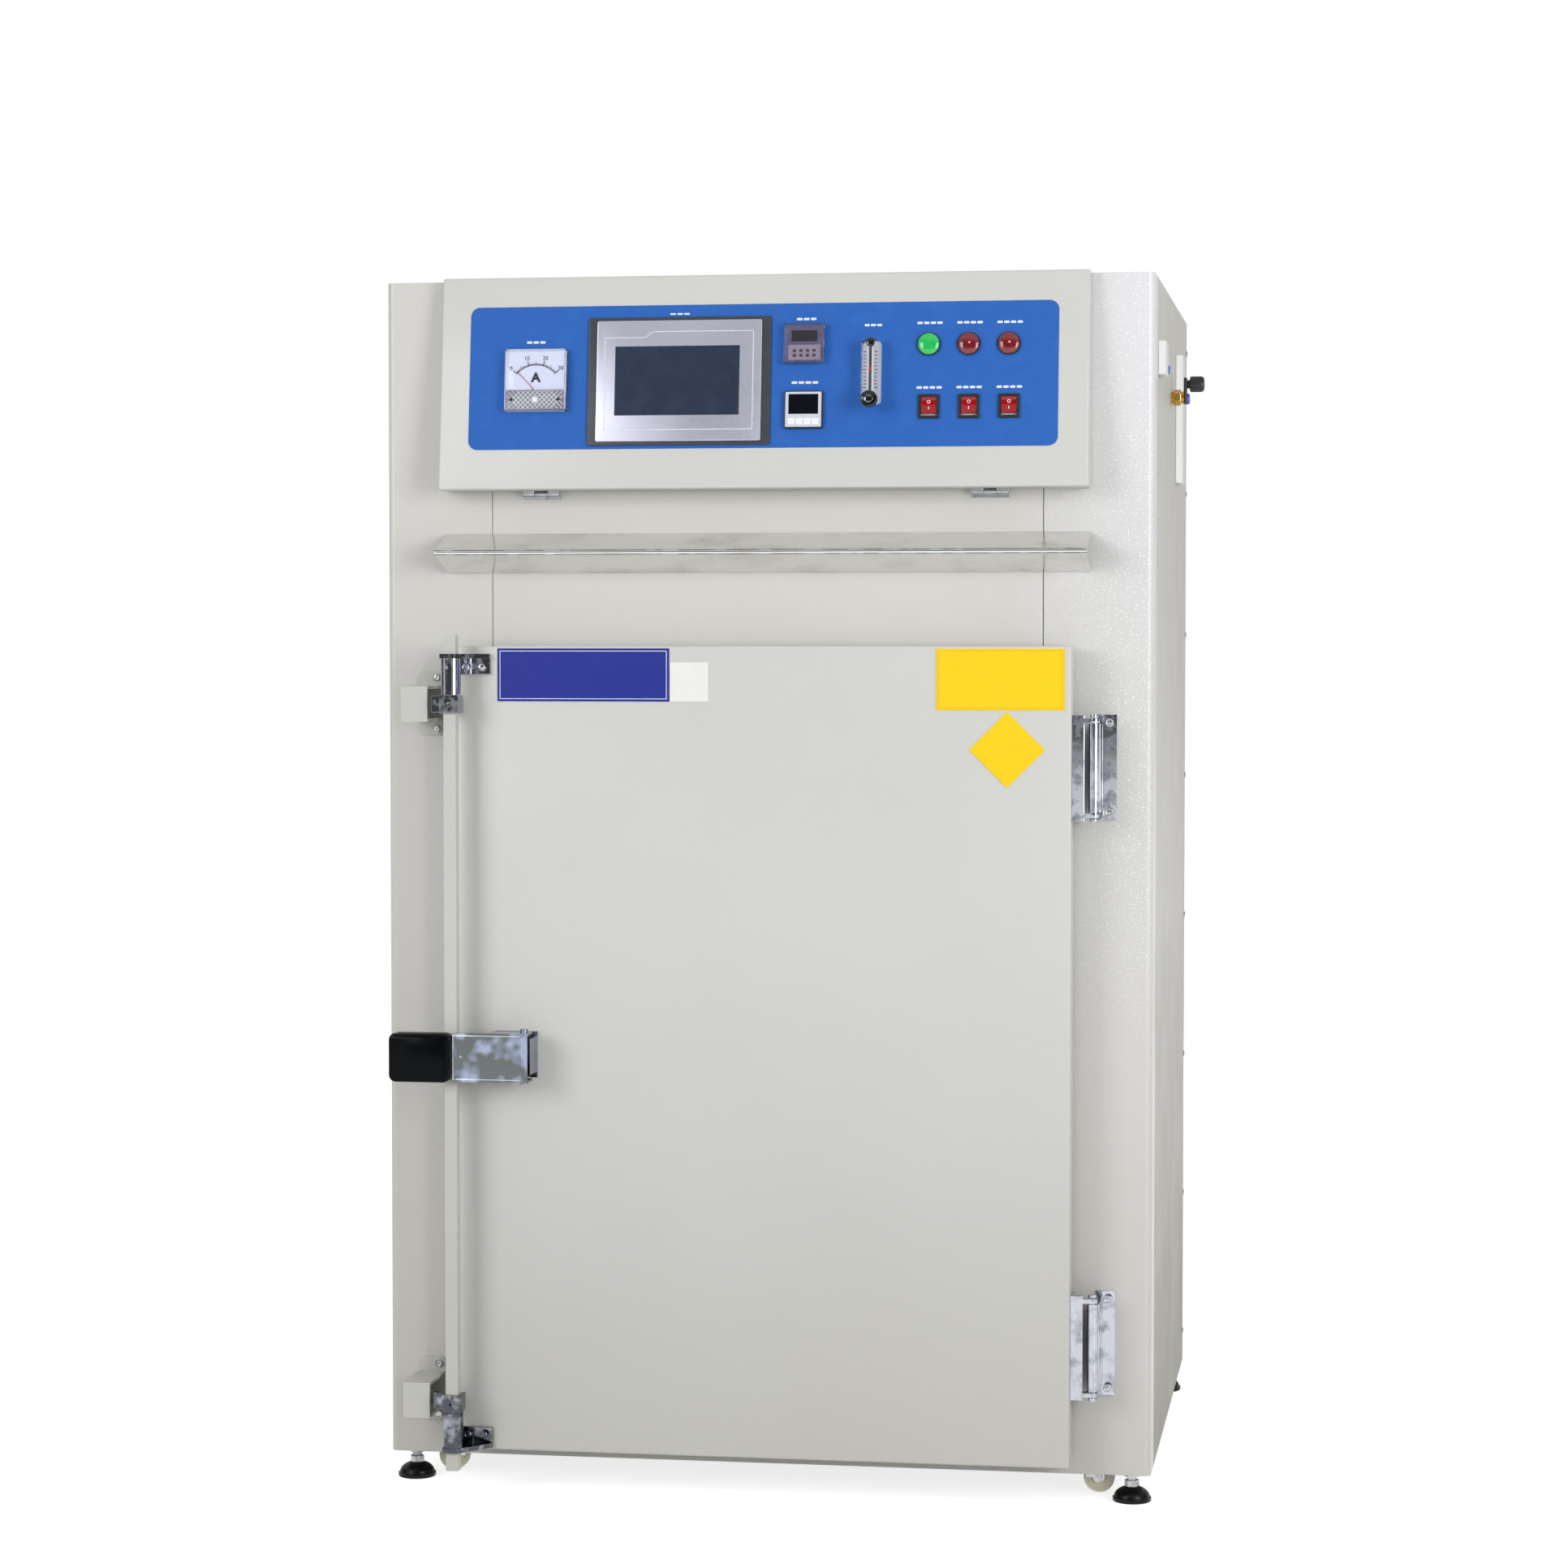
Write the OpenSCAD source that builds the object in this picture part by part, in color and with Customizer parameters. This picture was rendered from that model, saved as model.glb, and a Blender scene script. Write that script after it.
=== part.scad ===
// Drying oven: floor-standing cabinet with a lock-bar door, tilting control
// cover, levelling feet and swivel casters. Units are millimetres.

/* [Cabinet] */
// Width of the painted body
body_w = 1000; // [900:10:1100]
// Depth of the painted body
body_d = 800; // [740:10:900]
// Height of the painted body above its underside
body_h = 1535; // [1480:5:1640]
// Ground clearance under the body
clear_h = 40; // [38:1:46]
// Thickness of the painted sheet
sheet_t = 2; // [1.5:0.1:2.5]
// Width of each front post
post_w = 140; // [132:1:150]

/* [Door] */
// Width of post left clear on each side of the door
door_side = 100; // [92:1:108]
// Height of the door's lower edge above the ground
door_z = 58; // [54:1:64]
// Front face of the door in front of the posts
door_front = 56; // [54:1:62]
// Space between the door's top and the control cover
head_gap = 201; // [190:1:215]
// Height of the door handle above the door's lower edge
handle_up = 517; // [460:5:580]

/* [Chamber] */
// How far the door reaches past the chamber's mouth at each side
mouth_side = 80; // [76:1:90]
// How far the door reaches past the chamber's mouth at the bottom
mouth_low = 72; // [68:1:80]
// How far the door reaches past the chamber's mouth at the top
mouth_high = 82; // [78:1:90]
// Clear depth of the chamber
chamber_d = 600; // [560:10:640]

/* [Control cover] */
// Width of the control cover
cover_w = 840; // [800:5:880]
// Height of the control cover
cover_h = 275; // [255:5:290]
// How far the cover's lower edge stands out
cover_out = 50; // [46:1:56]

/* [Ledge] */
// How far the polished ledge stands out
ledge_out = 70; // [60:1:80]
// Height of the ledge at its root
ledge_h = 52; // [46:1:58]

/* [Hidden] */
$fn = 40;
e = 0.1;

// Heights and half sizes that follow from the sizes above
hw = body_w / 2;
z0 = clear_h;
z1 = clear_h + body_h;
cover_z1 = z1 + 3;
cover_z0 = cover_z1 - cover_h;
door_w = body_w - 2 * door_side;
door_hw = door_w / 2;
door_top = cover_z0 - head_gap;
door_h = door_top - door_z;
handle_z = door_z + handle_up;
post_in = hw - post_w;
corner_r = 9;

// Door layers, front to back
slab_t = 44;
skin_t = 2;
slab_back = -door_front + slab_t;
gasket_gap = 0.4;
plug_in = 24;
mouth_w = door_w - 2 * mouth_side;
mouth_z0 = door_z + mouth_low;
mouth_z1 = door_top - mouth_high;
pan_side = 56;
plate_t = 1;
liner_t = 1.5;

// Electrical bay
bay_z = z1 - cover_h + 5;
cover_top_out = 18;
cover_a = atan((cover_out - cover_top_out) / cover_h);
cover_gap = 2;
cover_axis_y = -10;
cover_axis_z = cover_z0 - 4.5;

// Door hinge line
hinge_x = door_hw + 28;
hinge_y = -40;
hinge_zs = [door_z + 153, door_top - 154];
hinge_h = 134;

// Lock bar
bar_x = -(door_hw - 7);
bar_y = -(door_front + 36);
bar_a = 16;
barrel_d = 26;
journal_d = 22.4;
bore_d = 23.2;
up_flange_z = door_top - 16;
low_flange_z = door_z + 4;
barrel_l = 46;
collar_a = 25;
collar_h = 23;
up_collar_z = up_flange_z - barrel_l - 1 - collar_h;
low_collar_z = low_flange_z + barrel_l + 5 + 1;
nose_x = 28;
nose_y0 = 8;
nose_y1 = 18;

// Keepers on the left post
keep_gap = 5;
keep_x1 = bar_x - nose_x - keep_gap;
keep_w = 35;
keep_out = 86;
keep_h = 46;
keep_t = 4;

// Handle lever
lev_x = -(door_hw - 101);
lev_y = bar_y + 4;
lev_plate_y = bar_y - 16;
lev_t = 3;
lev_h = 57;
crank_r = 53;
grip_w = 80;
grip_h = 63;
grip_t = 22;

// Feet and casters
foot_x = hw - 26;
foot_y = 35;
foot_d = 50;
cast_x = hw - 80;
cast_y = 66;
wheel_d = 40;
wheel_w = 14;
wheel_lift = 4;
trail = 10;
wheel_z = wheel_lift + wheel_d / 2;

// Side fittings
valve_y = 376;
valve_z = z1 - 135;

// Whole-object box, used to put the origin under its middle
x_hi = hw + 46;
y_lo = lev_plate_y + 3 - grip_t;
x_mid = (x_hi - hw) / 2;
y_mid = (body_d + y_lo) / 2;
z_low = 0;

module place() { translate([-x_mid, -y_mid, -z_low]) children(); }
module box(x0, x1, y0, y1, za, zb) {
  translate([x0, y0, za]) cube([x1 - x0, y1 - y0, zb - za]);
}
module both() { children(); mirror([1, 0, 0]) children(); }
module rod_z(x, y, za, zb, d) {
  translate([x, y, za]) cylinder(d = d, h = zb - za);
}
module rod_y(x, z, ya, yb, d) {
  translate([x, yb, z]) rotate([90, 0, 0]) cylinder(d = d, h = yb - ya);
}
module rod_x(y, z, xa, xb, d) {
  translate([xa, y, z]) rotate([0, 90, 0]) cylinder(d = d, h = xb - xa);
}
module hex_y(x, z, ya, yb, d) {
  translate([x, yb, z]) rotate([90, 0, 0]) cylinder(d = d, h = yb - ya, $fn = 6);
}
// Child drawn flat on the sloping cover: x across, y up the slope, z outwards
module on_cover() {
  translate([0, -cover_out, cover_z0]) rotate([90 - cover_a, 0, 0]) children();
}
module slab_at(x, s, w, h, t, r = 2) {
  translate([x, s, 0]) linear_extrude(t) round_rect(w, h, r);
}
module round_rect(w, h, r) {
  square([w - 2 * r, h], center = true);
  square([w, h - 2 * r], center = true);
  for (i = [-1, 1], j = [-1, 1])
    translate([i * (w / 2 - r), j * (h / 2 - r)]) circle(r);
}

// Cabinet
side_y0 = 60;
floor_z = z0 + 24;
floor_t = 3;
foot_flange = 43;
rest_gap = 0.3;
module side_panels() {
  // The lower edge returns inwards and carries the rear feet
  color("#c4c4bc") both() {
    box(hw - sheet_t, hw, side_y0, body_d, z0, z1);
    box(hw - foot_flange, hw, side_y0, body_d - sheet_t, z0, z0 + sheet_t);
  }
}
module back_panel() {
  color("#c8c8c2")
    box(-hw + sheet_t, hw - sheet_t, body_d - sheet_t, body_d, z0, z1);
}
module top_panel() {
  color("#cfcfca")
    box(-hw + sheet_t, hw - sheet_t, side_y0, body_d - sheet_t, z1 - sheet_t, z1);
}
module bottom_panel() {
  color("#9a9a96")
    box(-hw + sheet_t, hw - sheet_t, side_y0, body_d - sheet_t, floor_z,
      floor_z + floor_t);
}
// Post section: face, rounded outer corner, side return and inner return
module post_outline() {
  translate([post_in, 0]) square([post_w - corner_r, side_y0]);
  translate([post_in, corner_r]) square([post_w, side_y0 - corner_r]);
  translate([hw - corner_r, corner_r]) circle(corner_r);
}
module post_section() {
  difference() {
    post_outline();
    union() {
      translate([post_in + sheet_t, sheet_t])
        square([post_w - corner_r - sheet_t, side_y0]);
      translate([post_in + sheet_t, corner_r])
        square([post_w - 2 * sheet_t, side_y0]);
      translate([hw - corner_r, corner_r]) circle(corner_r - sheet_t);
    }
  }
}
module front_frame() {
  color("#cfd0cb") {
    both() translate([0, 0, z0]) linear_extrude(body_h) post_section();
    box(-post_in - 1, post_in + 1, 0, sheet_t, z0, mouth_z0 - 40);
    box(-post_in - 1, post_in + 1, 0, 14, z0, z0 + sheet_t);
    box(-post_in - 1, post_in + 1, 0, side_y0, floor_z, floor_z + floor_t);
    box(-post_in - 1, post_in + 1, 0, sheet_t, z1 - 14, z1);
    box(-post_in - 1, post_in + 1, 0, side_y0, z1 - sheet_t, z1);
    both() translate([0, 0, z1 - sheet_t]) linear_extrude(sheet_t) post_outline();
    both() translate([0, 0, floor_z]) linear_extrude(floor_t) post_outline();
    both() translate([0, 0, z0]) linear_extrude(sheet_t) intersection() {
      post_outline();
      translate([hw - foot_flange, 0]) square([foot_flange, side_y0]);
    }
  }
}
module front_filler() {
  color("#cfd0cb") {
    box(-post_in + 1, post_in - 1, 0, sheet_t, mouth_z1 + 41, bay_z - 2);
    box(-post_in + 1, post_in - 1, 0, 30, bay_z - 2 - sheet_t, bay_z - 2);
  }
}
module mouth_frame() {
  color("#b9bbbd") difference() {
    box(-post_in + 1, post_in - 1, 0, 30, mouth_z0 - 39, mouth_z1 + 40);
    box(-mouth_w / 2, mouth_w / 2, -1, 31, mouth_z0, mouth_z1);
  }
}
module chamber_liner() {
  color("#c2c4c6") difference() {
    box(-mouth_w / 2 - liner_t, mouth_w / 2 + liner_t, 30, chamber_d + liner_t,
      mouth_z0 - liner_t, mouth_z1 + liner_t);
    box(-mouth_w / 2, mouth_w / 2, 29, chamber_d, mouth_z0, mouth_z1);
  }
}
module insulation() {
  color("#d8cfa8") difference() {
    box(-hw + sheet_t + 1, hw - sheet_t - 1, side_y0 + 1, body_d - sheet_t - 1,
      floor_z + floor_t + rest_gap, bay_z - 3);
    box(-mouth_w / 2 - liner_t - e, mouth_w / 2 + liner_t + e, side_y0,
      chamber_d + liner_t + e, mouth_z0 - liner_t - e, mouth_z1 + liner_t + e);
  }
}
module bay_floor() {
  color("#b9b9b4")
    box(-hw + sheet_t + 0.5, hw - sheet_t - 0.5, side_y0 + 0.5,
      body_d - sheet_t - 0.5, bay_z - 2, bay_z);
}
// Polished ledge of V section with a rounded nose
ledge_z = cover_z0 - 81;
ledge_r = 3.5;
module ledge() {
  color("#d8dadc")
    translate([-cover_w / 2, -e / 10, ledge_z]) rotate([90, 0, 90])
      linear_extrude(cover_w) difference() {
        ledge_wedge(0);
        translate([sheet_t, 0]) ledge_wedge(sheet_t);
      }
}
// V section drawn inwards by t
module ledge_wedge(t) {
  nose = ledge_r - t * 0.7;
  tip = ledge_out - ledge_r - 1.2 * t;
  hh = ledge_h / 2 - t;
  polygon([[0, -hh], [0, hh], [-tip, nose], [-tip, -nose]]);
  translate([-tip, 0]) circle(nose);
  if (t > 0) translate([-1, -hh]) square([5, 2 * hh]);
}
module keeper(zc) {
  x0 = keep_x1 - keep_w;
  difference() {
    union() {
      box(x0, keep_x1, -keep_out, -3, zc - keep_h / 2, zc + keep_h / 2);
      translate([x0, 0, zc]) rotate([90, 0, 0]) linear_extrude(3)
        polygon([[8, -42], [keep_w - 4, -42], [keep_w, -38], [keep_w, 38],
          [keep_w - 4, 42], [8, 42], [0, 34], [0, -34]]);
    }
    box(x0 + keep_t, keep_x1 + 1, -keep_out + keep_t, -6,
      zc - keep_h / 2 + keep_t, zc + keep_h / 2 - keep_t);
  }
  for (s = [-1, 1]) rod_y(keep_x1 - 8, zc + s * 34, -6.5, -3, 9.5);
}
module keepers() {
  color("#c6c7c2") {
    keeper(up_collar_z + collar_h / 2);
    keeper(low_collar_z + collar_h / 2);
  }
}
module frame_hinges() {
  color("#c9ccd0") for (z = hinge_zs) {
    difference() {
      union() {
        rod_z(hinge_x, hinge_y, z - 56, z + 56, 14);
        box(hinge_x + 3, hinge_x + 8, hinge_y, -4, z - 56, z + 56);
        box(hinge_x + 3, hinge_x + 26, -4, 0, z - hinge_h / 2, z + hinge_h / 2);
      }
      rod_z(hinge_x, hinge_y, z - 60, z + 60, 8.4);
    }
    for (s = [-1, 1]) rod_y(hinge_x + 17, z + s * 57, -8.5, -4, 10);
  }
}
cov_hinge_x = 292;
module cover_hinge_fixed() {
  color("#a9acae") for (s = [-1, 1]) translate([s * cov_hinge_x, 0, 0]) {
    difference() {
      union() {
        rod_x(cover_axis_y, cover_axis_z, -8, 8, 6);
        box(-8, 8, cover_axis_y, 0, cover_axis_z - 3, cover_axis_z - 1);
        box(-24, 24, -1.5, 0, cover_axis_z - 7, cover_axis_z - 1);
      }
      rod_x(cover_axis_y, cover_axis_z, -9, 9, 3.4);
    }
  }
}
pad_rim = 6;
pad_dome = 14;
pad_top = 19;
module foot_pads() {
  color("#151515") for (sx = [-1, 1], y = [foot_y, body_d - foot_y])
    translate([sx * foot_x, y, 0]) difference() {
      rotate_extrude($fn = 48) {
        polygon([[0, 0], [foot_d / 2 - 1, 0], [foot_d / 2, 1.5],
          [foot_d / 2, pad_rim], [0, pad_rim]]);
        intersection() {
          translate([0, pad_rim]) scale([(foot_d / 2 - 2) / pad_dome, 1])
            circle(pad_dome, $fn = 48);
          translate([0, pad_rim - 1]) square([foot_d, pad_top - pad_rim + 1]);
        }
      }
      translate([0, 0, 4]) cylinder(d = 12.2, h = 20);
    }
}
module foot_studs() {
  color("#b4b6b8") for (sx = [-1, 1], y = [foot_y, body_d - foot_y])
    translate([sx * foot_x, y, 0]) {
      translate([0, 0, 4.2]) cylinder(d = 12, h = z0 - 4.4);
      translate([0, 0, 19.4]) cylinder(d = 19, h = 8, $fn = 6);
      translate([0, 0, z0 - 8.4]) cylinder(d = 19, h = 8, $fn = 6);
    }
}
module caster_plates() {
  color("#b4b6b8") for (sx = [-1, 1], y = [cast_y, body_d - cast_y])
    translate([sx * cast_x, y, 0]) difference() {
      translate([-24, -24, floor_z - 2.6]) cube([48, 48, 2.6]);
      translate([0, 0, floor_z - 4]) cylinder(d = 6.6, h = 3.6);
    }
}
// Folded covers and pipe fittings on the right side
front_hood_y = side_y0 + 16;
rear_hood_y = valve_y + 127;
hood_w = 60;
plug_y = side_y0 + 110;
plug_z = z1 - 112;
knob_z = valve_z + 18;
knob_d = 21;
module side_covers() {
  color("#d2d2ce") {
    hood(front_hood_y, hood_w, z1 - 124, z1 - 80);
    hood(rear_hood_y, hood_w, z1 - 246, z1 - 67);
  }
}
module hood(y, d, za, zb) {
  translate([hw, y, za]) linear_extrude(zb - za)
    polygon([[0, 0], [10, 4], [10, d - 4], [0, d]]);
}
module side_fittings() {
  color("#c9a14a") rod_hex_x(valve_y, valve_z, hw, hw + 18, 22);
  color("#2a5cc8") {
    rod_x(valve_y, valve_z - 2, hw + 18, hw + 26, 15);
    rod_x(plug_y, plug_z, hw, hw + 10, 12);
  }
  color("#1c1c1c")
    box(hw + 18, hw + 22, valve_y - 9, valve_y + 9, valve_z - 9, knob_z + 9);
}
module rod_hex_x(y, z, xa, xb, d) {
  translate([xa, y, z]) rotate([0, 90, 0]) cylinder(d = d, h = xb - xa, $fn = 6);
}
module side_knob() {
  color("#1a1a1a") {
    rod_x(valve_y, knob_z, hw + 22.4, hw + 26, 12);
    rod_x(valve_y, knob_z, hw + 26, hw + 46, knob_d);
  }
}

// Door
module door_shell() {
  color("#c6c6c4") difference() {
    translate([0, slab_back, door_z + door_h / 2]) rotate([90, 0, 0])
      linear_extrude(slab_t) round_rect(door_w, door_h, 5);
    box(-door_hw + skin_t, door_hw - skin_t, slab_back - slab_t + skin_t,
      slab_back - skin_t, door_z + skin_t, door_top - skin_t);
    box(-door_hw + pan_side + 2, door_hw - pan_side - 2, slab_back - 4,
      slab_back + 1, door_z + pan_side + 2, door_top - pan_side - 2);
  }
}
module door_fill() {
  color("#d8cfa8") box(-door_hw + skin_t + rest_gap, door_hw - skin_t - rest_gap,
    slab_back - slab_t + skin_t + rest_gap, slab_back - skin_t - rest_gap,
    door_z + skin_t + rest_gap, door_top - skin_t - rest_gap);
}
module door_pan() {
  pw = mouth_w - 24;
  color("#c2c4c6") {
    box(-door_hw + pan_side, door_hw - pan_side, slab_back, slab_back + 1.5,
      door_z + pan_side, door_top - pan_side);
    difference() {
      box(-pw / 2, pw / 2, slab_back + 1.5, plug_in, mouth_z0 + 12, mouth_z1 - 12);
      box(-pw / 2 + 2, pw / 2 - 2, slab_back, plug_in - 2,
        mouth_z0 + 14, mouth_z1 - 14);
    }
  }
}
module door_gasket() {
  gw = mouth_w / 2;
  color("#8f3b2e") difference() {
    box(-gw - 22, gw + 22, slab_back + 1.5, -gasket_gap, mouth_z0 - 22, mouth_z1 + 22);
    box(-gw - 6, gw + 6, slab_back, 1, mouth_z0 - 6, mouth_z1 + 6);
  }
}
module door_hinges() {
  color("#c9ccd0") for (z = hinge_zs) {
    box(door_hw, door_hw + 3, hinge_y - 6, slab_back - 3, z - hinge_h / 2, z + hinge_h / 2);
    box(door_hw, door_hw + 16, hinge_y - 6, hinge_y - 2,
      z - hinge_h / 2, z + hinge_h / 2);
    for (s = [-1, 1]) translate([0, 0, z + s * 60 - 3]) {
      box(door_hw + 3, hinge_x, hinge_y - 6, hinge_y + 6, 0, 6);
      translate([hinge_x, hinge_y, 0]) cylinder(d = 14, h = 6);
    }
    rod_z(hinge_x, hinge_y, z - 66, z + 66, 8);
    for (s = [-1, 1]) rod_z(hinge_x, hinge_y, z + s * 66 - 2, z + s * 66 + 2, 11);
  }
}
module bar_bracket(zf, up) {
  // Foot on the door, ledge forwards and a bearing barrel
  zfoot = up ? zf - 20 : zf;
  difference() {
    union() {
      box(bar_x + 4, -door_hw + 51, -door_front - 5, -door_front, zfoot, zfoot + 26);
      translate([0, 0, zf]) linear_extrude(6) polygon([
        [bar_x - 13, bar_y], [bar_x - 13, bar_y - 8], [bar_x - 5, bar_y - 14],
        [bar_x + 8, bar_y - 13], [-door_hw + 51, -door_front - 8],
        [-door_hw + 51, -door_front], [bar_x, -door_front], [bar_x - 13, bar_y + 8]]);
      rod_z(bar_x, bar_y, up ? zf - barrel_l : zf + 5,
        up ? zf + 1 : zf + 5 + barrel_l, barrel_d);
    }
    rod_z(bar_x, bar_y, zf - 60, zf + 60, bore_d);
  }
  for (x = [bar_x + 13, bar_x + 34])
    rod_y(x, zfoot + (up ? 9 : 17), -door_front - 9, -door_front - 5, 9);
}
module bar_brackets() {
  color("#c4c6ca") {
    bar_bracket(up_flange_z, true);
    bar_bracket(low_flange_z, false);
  }
}
module handle_base() {
  color("#c4c6ca") difference() {
    union() {
      box(lev_x - 44, lev_x + 11, -door_front - 5, -door_front,
        handle_z - 30, handle_z + 30);
      box(lev_x - 9, lev_x + 9, lev_y - 6, -door_front,
        handle_z - 23, handle_z + 23);
    }
    rod_z(lev_x, lev_y, handle_z - 60, handle_z + 60, 7.4);
  }
}
blue_x = -door_hw + 60;
blue_w = 225;
blue_low = 71;
white_w = 50;
yellow_w = 163;
yellow_low = 81;
plate_top = 3;
diamond_w = 68;
module door_plate_blue() {
  color("#2a3790") box(blue_x, blue_x + blue_w, -door_front - plate_t, -door_front,
    door_top - blue_low, door_top - plate_top);
}
module door_plate_white() {
  color("#f0f0ee") box(blue_x + blue_w + 1, blue_x + blue_w + 1 + white_w,
    -door_front - plate_t, -door_front, door_top - blue_low,
    door_top - blue_low + white_w);
}
module door_plates_yellow() {
  color("#f6d92c") {
    box(door_hw - 8 - yellow_w, door_hw - 8, -door_front - plate_t, -door_front,
      door_top - yellow_low, door_top - plate_top);
    translate([door_hw - 81, -door_front, door_top - yellow_low - 50])
      rotate([90, 45, 0]) translate([-diamond_w / 2, -diamond_w / 2, 0])
        cube([diamond_w, diamond_w, plate_t]);
  }
}

// Lever, grip and lock bar
module lever() {
  x0 = bar_x + 8;
  x1 = lev_x + 9;
  color("#bcc0c6") difference() {
    union() {
      box(x0 - 60, x1, lev_plate_y - lev_t, lev_plate_y,
        handle_z - lev_h / 2, handle_z + lev_h / 2);
      for (s = [-1, 1]) translate([0, 0, handle_z + s * (lev_h / 2 + 1.5)]) {
        box(lev_x - 42, x1, lev_plate_y - lev_t, lev_y + 8, -1.5, 1.5);
        box(bar_x + 10, lev_x - 41, lev_plate_y - lev_t, lev_plate_y + 2, -1.5, 1.5);
      }
    }
    rod_z(lev_x, lev_y, handle_z - 60, handle_z + 60, 7.4);
  }
  color("#bcc0c6") {
    rod_z(lev_x, lev_y, handle_z - lev_h / 2 - 6, handle_z + lev_h / 2 + 6, 7);
    for (s = [-1, 1])
      rod_z(lev_x, lev_y, handle_z + s * (lev_h / 2 + 5) - 2,
        handle_z + s * (lev_h / 2 + 5) + 2, 10);
  }
}
module grip() {
  color("#161617") difference() {
    translate([bar_x - 76, lev_plate_y + 3, handle_z])
      translate([grip_w / 2, 0, 0]) rotate([90, 0, 0])
        linear_extrude(grip_t) round_rect(grip_w, grip_h, 9);
    box(bar_x - 53, bar_x + 9, lev_plate_y - lev_t - 0.1, lev_plate_y + 0.1,
      handle_z - lev_h / 2 - 0.1, handle_z + lev_h / 2 + 0.1);
  }
}
module lock_bar() {
  h = bar_a / 2;
  color("#c8c9c4") {
    box(bar_x - h, bar_x + h, bar_y - h, bar_y + h,
      low_flange_z - 24, up_flange_z + 30);
    rod_z(bar_x, bar_y, up_flange_z - barrel_l + 0.5, up_flange_z + 0.5, journal_d);
    rod_z(bar_x, bar_y, low_flange_z + 5.5, low_flange_z + barrel_l + 4.5, journal_d);
  }
}
module cam(z) {
  difference() {
    union() {
      box(bar_x - 12.5, bar_x + 12.5, bar_y - 12.5, bar_y + 12.5, z, z + collar_h);
      box(bar_x - nose_x, bar_x + 12, bar_y + nose_y0, bar_y + nose_y1,
        z + 1, z + collar_h - 1);
    }
    box(bar_x - bar_a / 2 - e, bar_x + bar_a / 2 + e, bar_y - bar_a / 2 - e,
      bar_y + bar_a / 2 + e, z - 1, z + collar_h + 1);
    rod_y(bar_x, z + collar_h / 2, bar_y - 13, bar_y - 8.5, 5);
  }
}
module bar_cams() {
  color("#c4c6ca") {
    cam(up_collar_z);
    cam(low_collar_z);
    for (s = [-1, 1]) translate([0, 0, handle_z + s * 19 - 2]) linear_extrude(4)
      difference() {
        union() {
          translate([bar_x + bar_a / 2, bar_y - 8]) square([6, 20]);
          translate([bar_x + bar_a / 2, bar_y - 6]) square([crank_r - bar_a / 2, 12]);
          translate([bar_x + crank_r, bar_y]) circle(6);
        }
        translate([bar_x + crank_r, bar_y]) circle(2.6);
        translate([bar_x - bar_a, bar_y - bar_a]) square([1.5 * bar_a + e, 2 * bar_a]);
      }
  }
}

// Control cover
mem_w = cover_w - 78;
mem_h = 186;
mem_s = 145;
module cover_side_section() {
  polygon([[cover_out, 0], [cover_gap, 0], [cover_gap, cover_h],
    [cover_top_out, cover_h]]);
}
module cover_shell() {
  color("#cbccc7") difference() {
    translate([-cover_w / 2, 0, cover_z0]) rotate([90, 0, 90])
      linear_extrude(cover_w) mirror([1, 0]) cover_side_section();
    translate([-cover_w / 2 + sheet_t, 0, cover_z0]) rotate([90, 0, 90])
      linear_extrude(cover_w - 2 * sheet_t) mirror([1, 0])
        polygon([[cover_out - sheet_t - 0.2, sheet_t], [-1, sheet_t],
          [-1, cover_h - sheet_t], [cover_top_out - sheet_t + 0.2, cover_h - sheet_t]]);
    on_cover() cover_cuts();
  }
}
amm = [-292, 141];
hmi = [-105.5, 139];
hmi_frame = [238, 166];
hmi_case = [215, 157];
hmi_open = [188, 132];
con_open = 45.4;
tim = [57, 185];
con = [57, 100];
flo = [144, 146.5];
lamp_x = [216, 267, 318];
lamp_s = 183;
rock_x = [217, 268, 319];
rock_s = 103;
module cover_cuts() {
  translate([amm[0], amm[1], -8]) cylinder(d = 52, h = 12);
  translate([hmi[0], hmi[1], -3]) cube([hmi_open[0], hmi_open[1], 20], center = true);
  for (p = [tim, con])
    translate([p[0], p[1], -3]) cube([con_open, con_open, 20], center = true);
  for (x = lamp_x) translate([x, lamp_s, -8]) cylinder(d = 22.4, h = 12);
  for (x = rock_x) translate([x, rock_s, -3]) cube([22.4, 27.4, 20], center = true);
}
module membrane() {
  color("#4171be") on_cover() difference() {
    translate([0, 0, 0.05]) slab_at(0, mem_s, mem_w, mem_h, 0.75, 12);
    cover_cuts();
  }
}
module ammeter() {
  color("#e9e9e6") on_cover() {
    translate([0, 0, 0.8]) slab_at(amm[0], amm[1], 80, 80, 13, 2);
    translate([amm[0], amm[1], -40]) cylinder(d = 51.8, h = 41);
    translate([amm[0], amm[1] - 26, 14]) cube([78, 26, 3], center = true);
    for (s = [-1, 1]) translate([amm[0] + s * 33, amm[1] - 28, 15]) cylinder(d = 6, h = 1.6);
    translate([amm[0], amm[1] - 20, 15]) cylinder(d = 8, h = 1.6);
  }
}
module screen_unit() {
  color("#b6b9bc") on_cover() {
    translate([0, 0, 0.8]) slab_at(hmi[0], hmi[1], hmi_frame[0], hmi_frame[1], 1.6, 3);
    translate([0, 0, 2.4]) slab_at(hmi[0], hmi[1], hmi_case[0], hmi_case[1], 4, 4);
    translate([hmi[0], hmi[1], -17])
      cube([hmi_open[0] - 0.4, hmi_open[1] - 0.4, 38], center = true);
  }
}
module instruments() {
  color("#1a1b1d") on_cover() for (p = [tim, con]) {
    translate([0, 0, 0.8]) slab_at(p[0], p[1], 49, 48, 6, 1.5);
    translate([p[0], p[1], -32])
      cube([con_open - 0.4, con_open - 0.4, 66], center = true);
  }
}
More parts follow.
